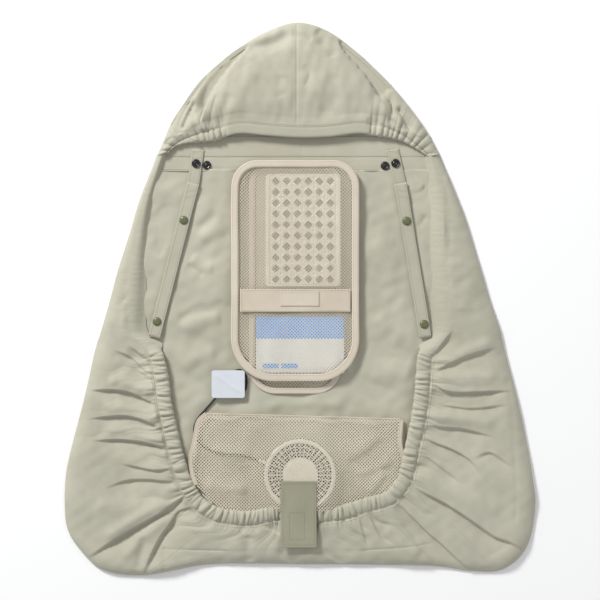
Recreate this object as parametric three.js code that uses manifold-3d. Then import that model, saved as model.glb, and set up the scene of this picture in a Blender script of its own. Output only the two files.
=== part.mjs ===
// A hooded baby-carrier cape laid out flat, lining side up, with its straps, gel pouch and fan.
// Millimetres. +Y runs from the hem to the hood, +Z is up from the surface it lies on.
import * as THREE from 'three';
import { mergeVertices } from 'three/addons/utils/BufferGeometryUtils.js';
import Module from 'manifold-3d';

const wasm = await Module();
wasm.setup();

// Cape shell
const gap = 0.3;                // clearance that touching pieces keep
const cloth = 2;                // thickness given to one layer of cloth
const neckY = 190;              // seam between the cape and the yoke
const neckHalf = 214;           // half width at that seam
const flareHalf = 342;          // half width where the cape is widest
const bodyLength = 574;         // neck seam to the bottom fold, on the centre line
const sideBow = 13;             // how far the long sides bow outwards
const cornerWidth = 92;         // width of a rounded bottom corner
const cornerHeight = 107;       // height of a rounded bottom corner
const cornerPower = 2.2;        // 2 would be an ellipse, more is squarer
const cornerDip = 18;           // how far the corners hang below the middle of the fold
const dipStart = 150;           // where along the fold that dip starts
const hoodLength = 212;         // neck seam to crown
const yokeHeight = 47;          // neck seam to the line where the hood folds
const hoodBaseHalf = 194;       // half width of the hood on that line
const crownPower = 0.55;        // roundness of the crown

// Gathered mouth
const mouthX = -12;             // centre line of the mouth
const mouthHalf = 181;          // half width at its open top
const mouthTop = -62;           // where the gathered edge starts
const skirtDepth = 78;          // bottom fold to the lowest point of the mouth
const mouthSplit = 0.56;        // share of the half mouth that belongs to a side wing
const channelWidth = 20;        // elastic casing
const channelUnder = 9;         // height of the casing above the surface
const channelHeight = 6;
const channelWall = 1.5;
const elasticWidth = 12;
const elasticThick = 2;
const foldInset = 24;           // wing's inner edge inside the neck's end
const foldSpread = 20;          // how much wider apart the inner edges are lower down
const seamEase = 1.5;           // room between a casing and the cloth around it
const wingUnder = 10;           // height of the folded-in cloth above the surface
const hingeDrop = 434;          // neck seam to the lower end of a wing's straight fold

// Hood
const hoodRise = 20;            // how far the hood stands up in its middle
const hemUnder = 8;             // height of the hood's hem
const hemWidth = 15;
const hemHalf = 148;            // half length of the straight part of the hem
const seamX = -5;               // the hood's centre seam
const seamWidth = 9;

// Straps and snaps
const strapWidth = 17.5;
const strapThick = 1.5;
const strapInset = 66;          // strap's centre inside the neck's end, at its top
const strapTop = neckY + 29;
const strapKnee = neckY - 24;   // where the short strap ends and the long one starts
const strapOverlap = 12;
const strapEnd = -56;
const strapLean = { left: 14.8, right: 9.6 };   // degrees off straight down
const shortLean = { left: 8, right: 13 };
const snapRadius = 6.4;
const snapHeight = 2.5;
const snapPlaces = [52, 204];   // olive snaps, down the long strap from the knee
const blackSnapDrop = 21;       // black snap, down the short strap from its top
const spareSnapStep = 15.5;     // spare stud, beside the strap

// Gel pouch
const pouchX = -7;
const pouchHalf = 93;
const pouchLength = 321;
const pouchAboveFan = 135;      // fan's centre to the front's lower edge
const pouchTopRound = 39;
const pouchBottomRound = 62;
const pouchBackHalf = 67;
const pouchBackRound = 32;
const pouchLip = 18;            // how far the back layer shows below the front
const bindingWidth = 10.4;
const netThick = 1.2;
const gelThick = 5.8;
// Low and high are above the front's lower edge
const matSize = { left: -50, right: 59, low: 137, high: 301 };
const packSize = { left: -64, right: 64, low: 12, high: 94 };
const bandSize = { left: -87, right: 73, low: 101, high: 134 };
const patchSize = { left: -29, right: 28, low: 109, high: 131 };
const packPlay = 3;             // room at each side of the pack's way out
const mouthReach = 42;          // how far up that way out is clear of the binding

// Fan, its pocket and the closing tab
const fanRadius = 52;
const fanWall = 2;
const fanHeight = 12.2;
const grilleThick = 2;
const hubRadius = 26;
const grilleRim = 5;
const spokeCount = 16;
const spokeWidth = 2.4;
const motorRadius = 11;
const motorHeight = 5;
const shaftRadius = 1.5;
const impellerWall = 2;
const bladeCount = 7;
const bladeThick = 1.6;
const tipClearance = 4;
const pocketHeight = 140;       // top edge above the lowest point of the mouth
const pocketUnder = 7.3;        // height of the pocket's net away from the fan
const pocketLeft = { top: -139, low: -152 };
const pocketRight = { top: 146, low: 138 };
const pocketEdge = 9;           // side bindings
const pocketSag = 18;           // rise of the pocket's low edge 100 mm from its middle
const tabWidth = 52;
const tabX = -2;
const tabAboveMouth = 45;
const tabBelowMouth = 51;
const patchWidth = 24;
const patchHeight = 36;

// Lead, plug and tag
const leadWidth = 3;
const reliefLength = 10;
const plugLength = 15;
const plugWidth = 11;
const plugHeight = 6;
const plugTip = 6.5;
const tagSize = { left: -128, right: -80, low: 111, high: 151 };   // low and high above the fan's centre
const tagThick = 1;
const tagClear = 0.7;           // air between the plug and the tag above it

const foldY = neckY - bodyLength;
const lowY = foldY - cornerDip;
const flareY = lowY + cornerHeight;
const yokeY = neckY + yokeHeight;
const crownY = neckY + hoodLength;
const mouthLow = foldY + skirtDepth;
const onCape = cloth + gap;     // height at which a piece rests on the cape's lining
const fanY = mouthLow + 1 + fanRadius;
const pouchBottom = fanY + pouchAboveFan;
const pouchTop = pouchBottom + pouchLength;
const matBox = raised(matSize, pouchBottom);
const packBox = raised(packSize, pouchBottom);
const bandBox = raised(bandSize, pouchBottom);
const patchBox = raised(patchSize, pouchBottom);
const tagBox = raised(tagSize, fanY);

const cape = new THREE.Group();
cape.name = 'carrier_cape';

const finishes = {
  cloth: { color: '#bfbca6', roughness: 0.92, metalness: 0 },
  elastic: { color: '#e6e3d6', roughness: 0.85, metalness: 0 },
  binding: { color: '#e3d8c6', roughness: 0.9, metalness: 0 },
  net: { color: '#cdbfa6', roughness: 0.9, metalness: 0 },
  gel: { color: '#e2dccd', roughness: 0.5, metalness: 0 },
  pack: { color: '#8db8e6', roughness: 0.35, metalness: 0 },
  blackPlastic: { color: '#1c1c1a', roughness: 0.4, metalness: 0 },
  olivePlastic: { color: '#7a8157', roughness: 0.45, metalness: 0 },
  fanPlastic: { color: '#dedccb', roughness: 0.45, metalness: 0 },
  steel: { color: '#b9bbbd', roughness: 0.3, metalness: 1 },
  tag: { color: '#e6e9f3', roughness: 0.6, metalness: 0 },
};

function add(name, finish, geometry, parent = cape) {
  const mesh = new THREE.Mesh(geometry, new THREE.MeshStandardMaterial(finishes[finish]));
  mesh.name = name;
  parent.add(mesh);
  return mesh;
}

// n + 1 values from a to b
function steps(a, b, n) {
  return Array.from({ length: n + 1 }, (_, i) => a + (b - a) * i / n);
}

function raised(box, y) {
  return { ...box, low: box.low + y, high: box.high + y };
}

function ease(t) {
  const c = Math.min(Math.max(t, 0), 1);
  return c * c * (3 - 2 * c);
}

// Flat piece: an outline raised from one height by a thickness
function plate(outline, under, thick, holes = []) {
  const shape = new THREE.Shape(outline);
  shape.holes = holes.map((hole) => new THREE.Path(hole));
  const geometry = new THREE.ExtrudeGeometry(shape, { depth: thick, bevelEnabled: false });
  geometry.translate(0, 0, under);
  return geometry;
}

function at(x, y) {
  return new THREE.Vector2(x, y);
}

function rectangle({ left, right, low, high }) {
  return [at(left, low), at(right, low), at(right, high), at(left, high)];
}

// Rectangle whose top and bottom corners have their own radii
function rounded(left, right, low, high, topRound, lowRound, sides = 6) {
  const corners = [
    [right - lowRound, low + lowRound, lowRound, -90],
    [right - topRound, high - topRound, topRound, 0],
    [left + topRound, high - topRound, topRound, 90],
    [left + lowRound, low + lowRound, lowRound, 180],
  ];
  return corners.flatMap(([x, y, r, start]) => steps(start, start + 90, sides).map((degrees) => {
    const a = THREE.MathUtils.degToRad(degrees);
    return at(x + r * Math.cos(a), y + r * Math.sin(a));
  }));
}

function circle(x, y, r, sides) {
  return steps(0, 360 * (1 - 1 / sides), sides - 1).map((degrees) => {
    const a = THREE.MathUtils.degToRad(degrees);
    return at(x + r * Math.cos(a), y + r * Math.sin(a));
  });
}

// Curved sheet: a thin unit box whose points move to place(u, v), which gives x, y and the underside
function sheet(place, across, along, thick) {
  const box = new THREE.BoxGeometry(1, 1, 1, across, along, 1);
  const points = box.attributes.position;
  for (let i = 0; i < points.count; i += 1) {
    const [x, y, under] = place(points.getX(i) + 0.5, points.getY(i) + 0.5);
    points.setXYZ(i, x, y, under + (points.getZ(i) > 0 ? thick : 0));
  }
  return box;
}

// Section carried along a level path; section points are [up, left of travel]
function sweep(path, section, count, height) {
  const curve = new THREE.CatmullRomCurve3(path.map((p) => new THREE.Vector3(p.x, p.y, height)));
  const shape = new THREE.Shape(section.map(([up, left]) => at(-up, left)));
  return new THREE.ExtrudeGeometry(shape, { steps: count, extrudePath: curve, bevelEnabled: false });
}

function solid(geometry) {
  const bare = geometry.index ? geometry.toNonIndexed() : geometry.clone();
  bare.deleteAttribute('normal');
  bare.deleteAttribute('uv');
  const merged = mergeVertices(bare, 1e-4);
  return new wasm.Manifold(new wasm.Mesh({
    numProp: 3,
    vertProperties: new Float32Array(merged.attributes.position.array),
    triVerts: new Uint32Array(merged.index.array),
  }));
}

function fromSolid(body) {
  const mesh = body.getMesh();
  const geometry = new THREE.BufferGeometry();
  geometry.setAttribute('position', new THREE.BufferAttribute(new Float32Array(mesh.vertProperties), 3));
  geometry.setIndex(new THREE.BufferAttribute(new Uint32Array(mesh.triVerts), 1));
  return geometry;
}

// Half width of the cape: a straight flare and a shallow parabola
function capeHalf(y) {
  const s = (neckY - y) / (neckY - flareY);
  return neckHalf + (flareHalf - neckHalf) * s + 4 * sideBow * s * (1 - s);
}

// Half width of the hood: a power curve from its base to a point at the crown
function hoodHalf(y) {
  const t = (y - yokeY) / (crownY - yokeY);
  return hoodBaseHalf * (1 - t) ** crownPower;
}

// Point on a bottom corner, from its side (0 degrees) to its lowest point (90 degrees)
function cornerPoint(degrees, inset) {
  const a = THREE.MathUtils.degToRad(degrees);
  return at(
    flareHalf - cornerWidth + (cornerWidth - inset) * Math.cos(a) ** (2 / cornerPower),
    flareY - (cornerHeight - inset) * Math.sin(a) ** (2 / cornerPower),
  );
}

function foldLine(x) {
  const dip = ease((x - dipStart) / (flareHalf - cornerWidth - dipStart));
  return foldY - cornerDip * dip;
}

function mirrored(points) {
  return points.map((p) => at(-p.x, p.y)).reverse();
}

function buildShell() {
  const side = steps(neckY, flareY, 9).map((y) => at(capeHalf(y), y));
  const corner = steps(0, 90, 7).slice(1).map((degrees) => cornerPoint(degrees, 0));
  const bottom = steps(flareHalf - cornerWidth, 0, 6).slice(1).map((x) => at(x, foldLine(x)));
  const right = [...side, ...corner, ...bottom];
  add('back_panel', 'cloth', plate([...mirrored(right).slice(1), ...right].reverse(), 0, cloth));

  const yoke = [at(neckHalf, neckY + gap), at(hoodBaseHalf, yokeY - gap)];
  add('neck_band', 'cloth', plate([...yoke, ...mirrored(yoke)], 0, cloth));
}

// Half of the mouth's edge, from its open top to the middle of its bottom
const mouthCurve = new THREE.CatmullRomCurve3([
  [mouthHalf, mouthTop],
  [mouthHalf - 2, mouthTop - 53],
  [mouthHalf - 12, mouthLow + 126],
  [mouthHalf - 27, mouthLow + 61],
  [mouthHalf - 53, mouthLow + 21],
  [mouthHalf - 101, mouthLow + 4],
  [0, mouthLow],
].map(([x, y]) => new THREE.Vector3(x, y, 0)));

// A point of that edge, moved outwards by offset and mirrored for the left side
function mouthPoint(share, offset, side) {
  const p = mouthCurve.getPointAt(share);
  const t = mouthCurve.getTangentAt(share);
  return at(mouthX + side * (p.x - t.y * offset), p.y + t.x * offset);
}

// Open C section of the elastic casing, its slot facing away from the mouth
function casingSection() {
  const h = channelHeight / 2;
  const w = channelWidth / 2;
  const inner = h - channelWall;
  return [[-h, -w], [h, -w], [h, w], [inner, w], [inner, -w + channelWall],
    [-inner, -w + channelWall], [-inner, w], [-h, w]];
}

function bandSection(thick, width) {
  return [[-thick / 2, -width / 2], [thick / 2, -width / 2], [thick / 2, width / 2], [-thick / 2, width / 2]];
}

function buildCasing(name, shares, side, count) {
  const middle = channelUnder + channelHeight / 2;
  // The path's left has to be away from the mouth, so the right side runs the other way
  const line = (offset) => {
    const points = shares.map(([share, half]) => {
      const p = mouthPoint(share, offset, side);
      return half < 0 ? at(2 * mouthX - p.x, p.y) : p;
    });
    return side > 0 ? points.reverse() : points;
  };
  const casing = sweep(line(channelWidth / 2), casingSection(), count, middle);
  add(`${name}_casing`, 'cloth', casing);
  const inCasing = channelWall + gap + elasticWidth / 2;
  const elastic = sweep(line(inCasing), bandSection(elasticThick, elasticWidth), count, middle);
  add(`${name}_elastic`, 'elastic', elastic);
}

// Side wing: the cloth between the mouth's casing and the straight fold that it opens about
function buildWing(name, side) {
  const offset = channelWidth + seamEase;
  const foldHalf = neckHalf - foldInset + foldSpread;
  const edge = steps(mouthSplit, 0, 7).map((share) => mouthPoint(share, offset, 1));
  const inner = [
    ...edge.map((p) => at(p.x - mouthX, p.y)),
    at(foldHalf, mouthTop + 12),
    at(foldHalf, neckY - 80),
    at(neckHalf - foldInset, neckY - gap),
  ].map((p) => new THREE.Vector3(mouthX * side + p.x, p.y, 0));
  const hingeLow = wingHinge(1).low;
  const outer = [
    ...steps(66, 22, 3).map((degrees) => cornerPoint(degrees, 3)),
    hingeLow,
    at(neckHalf - 1, neckY - gap),
  ].map((p) => new THREE.Vector3(p.x, p.y, 0));
  const innerCurve = polyline(inner);
  const outerCurve = polyline(outer);
  add(name, 'cloth', sheet((u, v) => {
    const share = side > 0 ? u : 1 - u;
    const a = innerCurve.getPointAt(v);
    const b = outerCurve.getPointAt(v);
    const x = side * (a.x + (b.x - a.x) * share);
    const rise = (wingUnder - onCape) * (1 - share ** 4);
    return [x, a.y + (b.y - a.y) * share, onCape + rise];
  }, 6, 16, cloth));
}

function polyline(points) {
  const path = new THREE.CurvePath();
  points.slice(1).forEach((p, i) => path.add(new THREE.LineCurve3(points[i], p)));
  return path;
}

// Ends of the straight fold that a wing opens about
function wingHinge(side) {
  const lowHingeY = neckY - hingeDrop;
  return { top: at(side * (neckHalf - 1), neckY), low: at(side * (capeHalf(lowHingeY) - 1), lowHingeY) };
}

function buildSkirt() {
  const offset = channelWidth + seamEase;
  const edge = steps(mouthSplit + 0.03, 1, 8).map((share) => mouthPoint(share, offset, 1));
  const half = edge.map((p) => new THREE.Vector3(p.x - mouthX, p.y, 0));
  const upper = polyline([...half, ...half.slice(0, -1).reverse().map((p) => new THREE.Vector3(-p.x, p.y, 0))]);
  const lowRight = cornerPoint(76, 3);
  const foot = [
    new THREE.Vector3(lowRight.x - mouthX, lowRight.y, 0),
    ...steps(flareHalf - cornerWidth, 0, 5).map((x) => new THREE.Vector3(x, foldLine(x) + 3, 0)),
  ];
  const lower = polyline([...foot, ...foot.slice(0, -1).reverse().map((p) => new THREE.Vector3(-p.x, p.y, 0))]);
  add('bottom_skirt', 'cloth', sheet((u, v) => {
    const a = lower.getPointAt(1 - u);
    const b = upper.getPointAt(1 - u);
    const rise = (wingUnder - onCape) * (1 - (1 - v) ** 4);
    const x = a.x + (b.x - a.x) * v + mouthX * v;
    return [x, a.y + (b.y - a.y) * v, onCape + rise];
  }, 20, 5, cloth));
}

// Hood: a lower layer and two upper panels that meet at the centre seam and stand up between
function buildHood() {
  const side = steps(0, 1, 9).map((t) => {
    const y = yokeY + gap + (crownY - yokeY - gap) * (1 - (1 - t) ** 1.6);
    return at(Math.max(hoodHalf(Math.min(y, crownY)), 0), y);
  });
  add('hood_back', 'cloth', plate([...side, ...mirrored(side).slice(1)], 0, cloth));

  const hemY = yokeY + 3;
  const panelY = hemY + hemWidth + gap;
  const topY = crownY - 4;
  const puff = (x, y) => {
    const across = Math.min(Math.abs(x) / hoodHalf(y), 1);
    const up = (y - panelY) / (topY - panelY);
    const dome = (hemUnder - onCape) * (1 - up) + hoodRise * 4 * up * (1 - up) * 0.8;
    return onCape + dome * (1 - across ** 3);
  };
  for (const [name, side] of [['hood_left_panel', -1], ['hood_right_panel', 1]]) {
    add(name, 'cloth', sheet((u, v) => {
      const y = panelY + (topY - panelY) * v;
      const share = side > 0 ? u : 1 - u;
      const edge = side * (hoodHalf(y) - 3);
      const start = seamX + side * gap / 2;
      const x = start + (edge - start) * share;
      return [x, y, puff(x, y)];
    }, 6, 8, cloth));
  }
  add('hood_seam_tape', 'cloth', sheet((u, v) => {
    const y = panelY + (topY - 12 - panelY) * v;
    const x = seamX + seamWidth * (u - 0.5);
    return [x, y, puff(x, y) + cloth + gap + 0.4];
  }, 2, 8, strapThick));
  add('hood_hem', 'cloth', sheet((u, v) => {
    const x = hemHalf * (2 * u - 1);
    const y = hemY + hemWidth * v;
    const across = Math.abs(x) / hoodHalf(panelY);
    return [x, y, onCape + (hemUnder - onCape) * (1 - across ** 3)];
  }, 10, 1, cloth));
  for (const [name, side] of [['hood_left_gather', -1], ['hood_right_gather', 1]]) {
    const inner = hemHalf;
    const outer = (y) => neckHalf + (hoodBaseHalf - neckHalf) * (y - neckY) / yokeHeight - 3;
    const low = neckY + 18;
    const high = yokeY - gap;
    const outline = [
      at(inner + 6, high - 12), at(inner + 30, low + 4), at(outer(low), low),
      at(outer(high), high), at(inner + 6, high),
    ];
    const placed = side > 0 ? outline : mirrored(outline);
    add(name, 'cloth', plate(placed, onCape, cloth));
  }
}

// Snap half: a low dome with a rounded rim, turned about its axis
function snap(radius, height) {
  const profile = [at(0, 0), at(radius - 0.6, 0), at(radius, 0.6), at(radius - 0.5, height * 0.6),
    at(radius * 0.6, height), at(0, height)];
  return new THREE.LatheGeometry(profile, 12).rotateX(Math.PI / 2);
}

function buildStraps() {
  for (const [name, side] of [['left', -1], ['right', 1]]) {
    const shortStrap = new THREE.Group();
    shortStrap.position.set(side * (neckHalf - strapInset - (side > 0 ? 14 : 0)), strapTop, 0);
    shortStrap.rotation.z = side * THREE.MathUtils.degToRad(shortLean[name]);
    cape.add(shortStrap);
    const shortLength = strapTop - strapKnee + strapOverlap;
    const half = strapWidth / 2;
    const piece = { left: -half, right: half, low: -shortLength, high: 0 };
    add(`${name}_short_strap`, 'cloth', plate(rectangle(piece), onCape, strapThick), shortStrap);
    const black = add(`${name}_black_snap_cap`, 'blackPlastic', snap(snapRadius, snapHeight), shortStrap);
    black.position.set(0, -blackSnapDrop, onCape + strapThick + gap);
    const spare = add(`${name}_spare_snap_stud`, 'blackPlastic', snap(snapRadius, snapHeight), shortStrap);
    spare.position.set(-side * spareSnapStep, -blackSnapDrop, onCape);

    const longStrap = new THREE.Group();
    const lean = Math.tan(THREE.MathUtils.degToRad(shortLean[name]));
    longStrap.position.set(shortStrap.position.x + side * lean * (strapTop - strapKnee), strapKnee, 0);
    longStrap.rotation.z = side * THREE.MathUtils.degToRad(strapLean[name]);
    cape.add(longStrap);
    const length = (strapKnee - strapEnd) / Math.cos(longStrap.rotation.z);
    const socketHeight = onCape + strapThick + gap + 0.5;
    const longUnder = socketHeight + gap;
    const outline = rounded(-half, half, -length, 4, 1, half - 0.1, 4);
    add(`${name}_long_strap`, 'cloth', plate(outline, longUnder, strapThick), longStrap);
    snapPlaces.forEach((drop, i) => {
      const place = ['upper', 'lower'][i];
      const cap = add(`${name}_${place}_olive_cap`, 'olivePlastic', snap(snapRadius, snapHeight), longStrap);
      cap.position.set(0, -drop, longUnder + strapThick + gap);
      const socket = snap(snapRadius - 1, socketHeight - onCape);
      add(`${name}_${place}_olive_socket`, 'olivePlastic', socket, longStrap).position.set(0, -drop, onCape);
    });
  }
}

// Pouch of two net layers with bound edges; the front's lower edge is open for the gel pack
function buildPouch() {
  const backUnder = onCape;
  const backBinding = backUnder + netThick + gap;
  const gelUnder = backBinding + netThick + gap;
  const frontUnder = gelUnder + gelThick + gap;
  const ring = (left, right, low, high, topRound, lowRound, under, thick) => {
    const w = bindingWidth;
    const outer = rounded(left, right, low, high, topRound, lowRound);
    const inner = rounded(left + w, right - w, low + w, high - w, topRound - w, lowRound - w);
    return plate(outer, under, thick, [inner]);
  };
  const backBox = [pouchX - pouchBackHalf, pouchX + pouchBackHalf, pouchBottom - pouchLip, pouchTop - 6];
  const backOutline = rounded(...backBox, pouchBackRound, pouchBackRound);
  add('pouch_back_net', 'net', plate(backOutline, backUnder, netThick));
  add('pouch_back_binding', 'binding', ring(...backBox, pouchBackRound, pouchBackRound, backBinding, netThick));

  const frontBox = [pouchX - pouchHalf, pouchX + pouchHalf, pouchBottom, pouchTop];
  const wall = ring(...frontBox, pouchTopRound, pouchBottomRound, gelUnder, frontUnder + 2 - gelUnder);
  const mouth = rectangle({
    left: packBox.left - packPlay,
    right: packBox.right + packPlay,
    low: pouchBottom - 1,
    high: pouchBottom + mouthReach,
  });
  const cut = plate(mouth, gelUnder - 1, frontUnder - gelUnder + 1);
  add('pouch_front_binding', 'binding', fromSolid(solid(wall).subtract(solid(cut))));
  const w = bindingWidth + gap;
  const net = rounded(pouchX - pouchHalf + w, pouchX + pouchHalf - w, pouchBottom + w, pouchTop - w,
    pouchTopRound - w, pouchBottomRound - w);
  add('pouch_front_net', 'net', plate(net, frontUnder, netThick));

  const matOutline = rounded(matBox.left, matBox.right, matBox.low, matBox.high, 4, 4, 2);
  add('gel_mat', 'gel', plate(matOutline, gelUnder, gelThick));
  add('gel_pack', 'pack', plate(rounded(packBox.left, packBox.right, packBox.low, packBox.high, 5, 5, 2),
    gelUnder, gelThick));
  const bandUnder = frontUnder + netThick + gap;
  add('pouch_band', 'binding', plate(rectangle(bandBox), bandUnder, strapThick));
  const patchOutline = rounded(patchBox.left, patchBox.right, patchBox.low, patchBox.high, 3, 3, 2);
  add('pouch_band_patch', 'binding', plate(patchOutline, bandUnder + strapThick + gap, 1));
}

// Flat fan: a cup with its motor, the impeller on its shaft, and a spoked grille with a hub cap
function buildFan() {
  const fan = new THREE.Group();
  fan.position.set(0, fanY, onCape);
  cape.add(fan);
  const turn = (profile, sides) => new THREE.LatheGeometry(profile, sides).rotateX(Math.PI / 2);
  const cup = [at(0, 0), at(fanRadius - 1, 0), at(fanRadius, 1), at(fanRadius, fanHeight),
    at(fanRadius - fanWall, fanHeight), at(fanRadius - fanWall, fanWall), at(0, fanWall)];
  add('fan_back_housing', 'fanPlastic', turn(cup, 40), fan);

  const motorUnder = fanWall + gap;
  const boreDepth = 3;
  const motorTop = motorUnder + motorHeight;
  const bore = shaftRadius + gap;
  const motor = [at(0, motorUnder), at(motorRadius, motorUnder), at(motorRadius, motorTop), at(bore, motorTop),
    at(bore, motorTop - boreDepth), at(0, motorTop - boreDepth)];
  add('fan_motor', 'blackPlastic', turn(motor, 20), fan);

  const impellerTop = fanHeight - 1.2;
  const shaftUnder = motorTop - boreDepth + gap;
  const shaft = [
    at(0, shaftUnder), at(shaftRadius, shaftUnder), at(shaftRadius, impellerTop), at(0, impellerTop),
  ];
  add('fan_shaft', 'steel', turn(shaft, 12), fan);

  const rotorHub = motorRadius + 1 + impellerWall;
  const low = motorUnder + 0.6;
  const hub = [at(bore, impellerTop - impellerWall), at(rotorHub - impellerWall, impellerTop - impellerWall),
    at(rotorHub - impellerWall, low), at(rotorHub, low), at(rotorHub, impellerTop), at(bore, impellerTop),
    at(bore, impellerTop - impellerWall)];
  let rotor = solid(turn(hub, 20));
  const tip = fanRadius - fanWall - tipClearance;
  const swept = steps(0, 1, 5).map((t) => {
    const r = rotorHub - 1 + (tip - rotorHub + 1) * t;
    return { r, a: 0.55 * t };
  });
  const edge = (offset) => swept.map(({ r, a }) => {
    const bearing = a + offset / r;
    return at(r * Math.cos(bearing), r * Math.sin(bearing));
  });
  const bladeOutline = [...edge(-bladeThick / 2), ...edge(bladeThick / 2).reverse()];
  const blade = plate(bladeOutline, low, impellerTop - 1 - low);
  for (let i = 0; i < bladeCount; i += 1) {
    rotor = rotor.add(solid(blade.clone().rotateZ(2 * Math.PI * i / bladeCount)));
  }
  add('fan_impeller', 'fanPlastic', fromSolid(rotor), fan);

  const slots = steps(0, spokeCount - 1, spokeCount - 1).map((i) => {
    const from = 2 * Math.PI * i / spokeCount;
    const to = 2 * Math.PI * (i + 1) / spokeCount;
    const arc = (r) => {
      const pad = spokeWidth / 2 / r;
      return steps(from + pad, to - pad, 2).map((a) => at(r * Math.cos(a), r * Math.sin(a)));
    };
    return [...arc(hubRadius + 2), ...arc(fanRadius - grilleRim).reverse()];
  });
  const centre = circle(0, 0, hubRadius - 1.5, 32);
  const grille = plate(circle(0, 0, fanRadius, 64), fanHeight + gap, grilleThick, [...slots, centre]);
  add('fan_grille', 'fanPlastic', grille, fan);
  const capRadius = hubRadius - 1.5 - gap;
  const cap = [at(0, fanHeight + gap), at(capRadius - 1, fanHeight + gap), at(capRadius, fanHeight + gap + 1),
    at(capRadius, fanHeight + grilleThick), at(capRadius - 2, fanHeight + grilleThick + 0.6),
    at(0, fanHeight + grilleThick + 0.6)];
  add('fan_hub_cap', 'fanPlastic', turn(cap, 28), fan);
  return onCape + fanHeight + grilleThick + 0.6;
}

// Net pocket over the fan: flat at its sides, raised over the fan
function buildPocket(fanTop) {
  const topY = mouthLow + pocketHeight;
  const lowPocket = (x) => mouthLow + 0.5 + pocketSag * (x / 100) ** 2;
  const over = fanTop + gap;
  const height = (x, y) => {
    const reach = Math.hypot(x, y - fanY);
    return pocketUnder + (over - pocketUnder) * (1 - ease((reach - fanRadius - 20) / 40));
  };
  const leftAt = (v) => pocketLeft.low + (pocketLeft.top - pocketLeft.low) * v - 10 * Math.sin(Math.PI * v);
  const rightAt = (v) => pocketRight.low + (pocketRight.top - pocketRight.low) * v;
  const strip = (from, to, across) => sheet((u, v) => {
    const x = from(v) + (to(v) - from(v)) * u;
    const low = lowPocket(x);
    const y = low + (topY - low) * v;
    return [x, y, height(x, y)];
  }, across, 12, netThick);
  const leftIn = (v) => leftAt(v) + pocketEdge;
  const rightIn = (v) => rightAt(v) - pocketEdge;
  add('fan_pocket_net', 'net', strip((v) => leftIn(v) + gap, (v) => rightIn(v) - gap, 18));
  add('fan_pocket_left_binding', 'binding', strip(leftAt, leftIn, 1));
  add('fan_pocket_right_binding', 'binding', strip(rightIn, rightAt, 1));
  return over + netThick + gap;
}

function buildTab(tabUnder) {
  const half = tabWidth / 2;
  const high = mouthLow + tabAboveMouth;
  const low = mouthLow - tabBelowMouth;
  const tabOutline = rectangle({ left: tabX - half, right: tabX + half, low, high });
  add('closure_tab', 'cloth', plate(tabOutline, tabUnder, cloth));
  const patchLow = low + 12;
  const patchSides = { left: tabX - patchWidth / 2, right: tabX + patchWidth / 2 };
  const patch = { ...patchSides, low: patchLow, high: patchLow + patchHeight };
  const onCasing = channelUnder + channelHeight + gap;
  const share = (tabUnder - onCasing - 2 * gap) / 2;
  add('skirt_loop_patch', 'cloth', plate(rectangle(patch), onCasing, share));
  add('tab_hook_patch', 'blackPlastic', plate(rectangle(patch), onCasing + share + gap, share));
}

// Lead from the fan, past the pocket's side and under the tag to its plug; each point is from the fan's centre
function buildLead() {
  const leadZ = onCape + leadWidth / 2;
  const exit = Math.atan2(18, -54);
  const reach = fanRadius + gap + reliefLength;
  const relief = new THREE.CylinderGeometry(leadWidth * 0.75, leadWidth, reliefLength, 12);
  relief.rotateZ(exit - Math.PI / 2);
  const reliefMiddle = fanRadius + gap + 0.4 + reliefLength / 2;
  relief.translate(reliefMiddle * Math.cos(exit), fanY + reliefMiddle * Math.sin(exit), leadZ + leadWidth / 2);
  add('lead_strain_relief', 'blackPlastic', relief);

  const route = [
    [(reach + 0.8) * Math.cos(exit), (reach + 0.8) * Math.sin(exit), 1.5],
    [-76, 25.5, 0.7], [-92, 28.5, 0], [-108, 29, 0], [-122, 31.5, 0], [-134, 36.5, 0], [-144, 44, 0],
    [-151.5, 53.5, 0], [-154, 64, 0], [-152, 74, 0], [-147, 83, 0], [-139, 92, 0], [-131, 101, 0],
    [-122, 111.5, 0], [-114, 122.5, 0], [-107, 133, 0], [-101, 143, 0], [-94.5, 149.5, 0], [-87.5, 151.5, 0],
    [-81.5, 148.5, 0], [-78.5, 141.5, 0], [-77.5, 133, 0], [-78.5, 125, 0], [-83, 118.5, 0], [-90, 117, 0],
  ];
  const curve = new THREE.CatmullRomCurve3(
    route.map(([x, y, up]) => new THREE.Vector3(x, fanY + y, leadZ + up)));
  const section = new THREE.Shape(circle(0, 0, leadWidth / 2, 8));
  const tube = new THREE.ExtrudeGeometry(section, { steps: 56, extrudePath: curve, bevelEnabled: false });
  add('fan_lead', 'blackPlastic', tube);

  const plugX = route.at(-1)[0] - gap - 0.2;
  const plugY = fanY + route.at(-1)[1];
  const body = rounded(plugX - plugLength, plugX, plugY - plugWidth / 2, plugY + plugWidth / 2, 2, 2, 2);
  add('plug_body', 'blackPlastic', plate(body, onCape, plugHeight));
  const tipRight = plugX - plugLength - gap;
  const tip = { left: tipRight - plugTip, right: tipRight, low: plugY - 4.1, high: plugY + 4.1 };
  add('plug_tip', 'steel', plate(rectangle(tip), onCape + plugHeight / 2 - 1.2, 2.4));

  const foot = 1.5;
  const tagUnder = onCape + plugHeight + tagClear;
  const tagTop = tagUnder + tagThick;
  const width = tagBox.right - tagBox.left;
  const profile = [
    at(0, onCape), at(foot, onCape), at(foot, tagUnder),
    at(width, tagUnder), at(width, tagTop), at(0, tagTop),
  ];
  const tagDepth = { depth: tagBox.high - tagBox.low, bevelEnabled: false };
  const tag = new THREE.ExtrudeGeometry(new THREE.Shape(profile), tagDepth);
  tag.rotateX(Math.PI / 2);
  tag.translate(tagBox.left, tagBox.high, 0);
  add('cable_tag', 'tag', tag);
}

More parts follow.
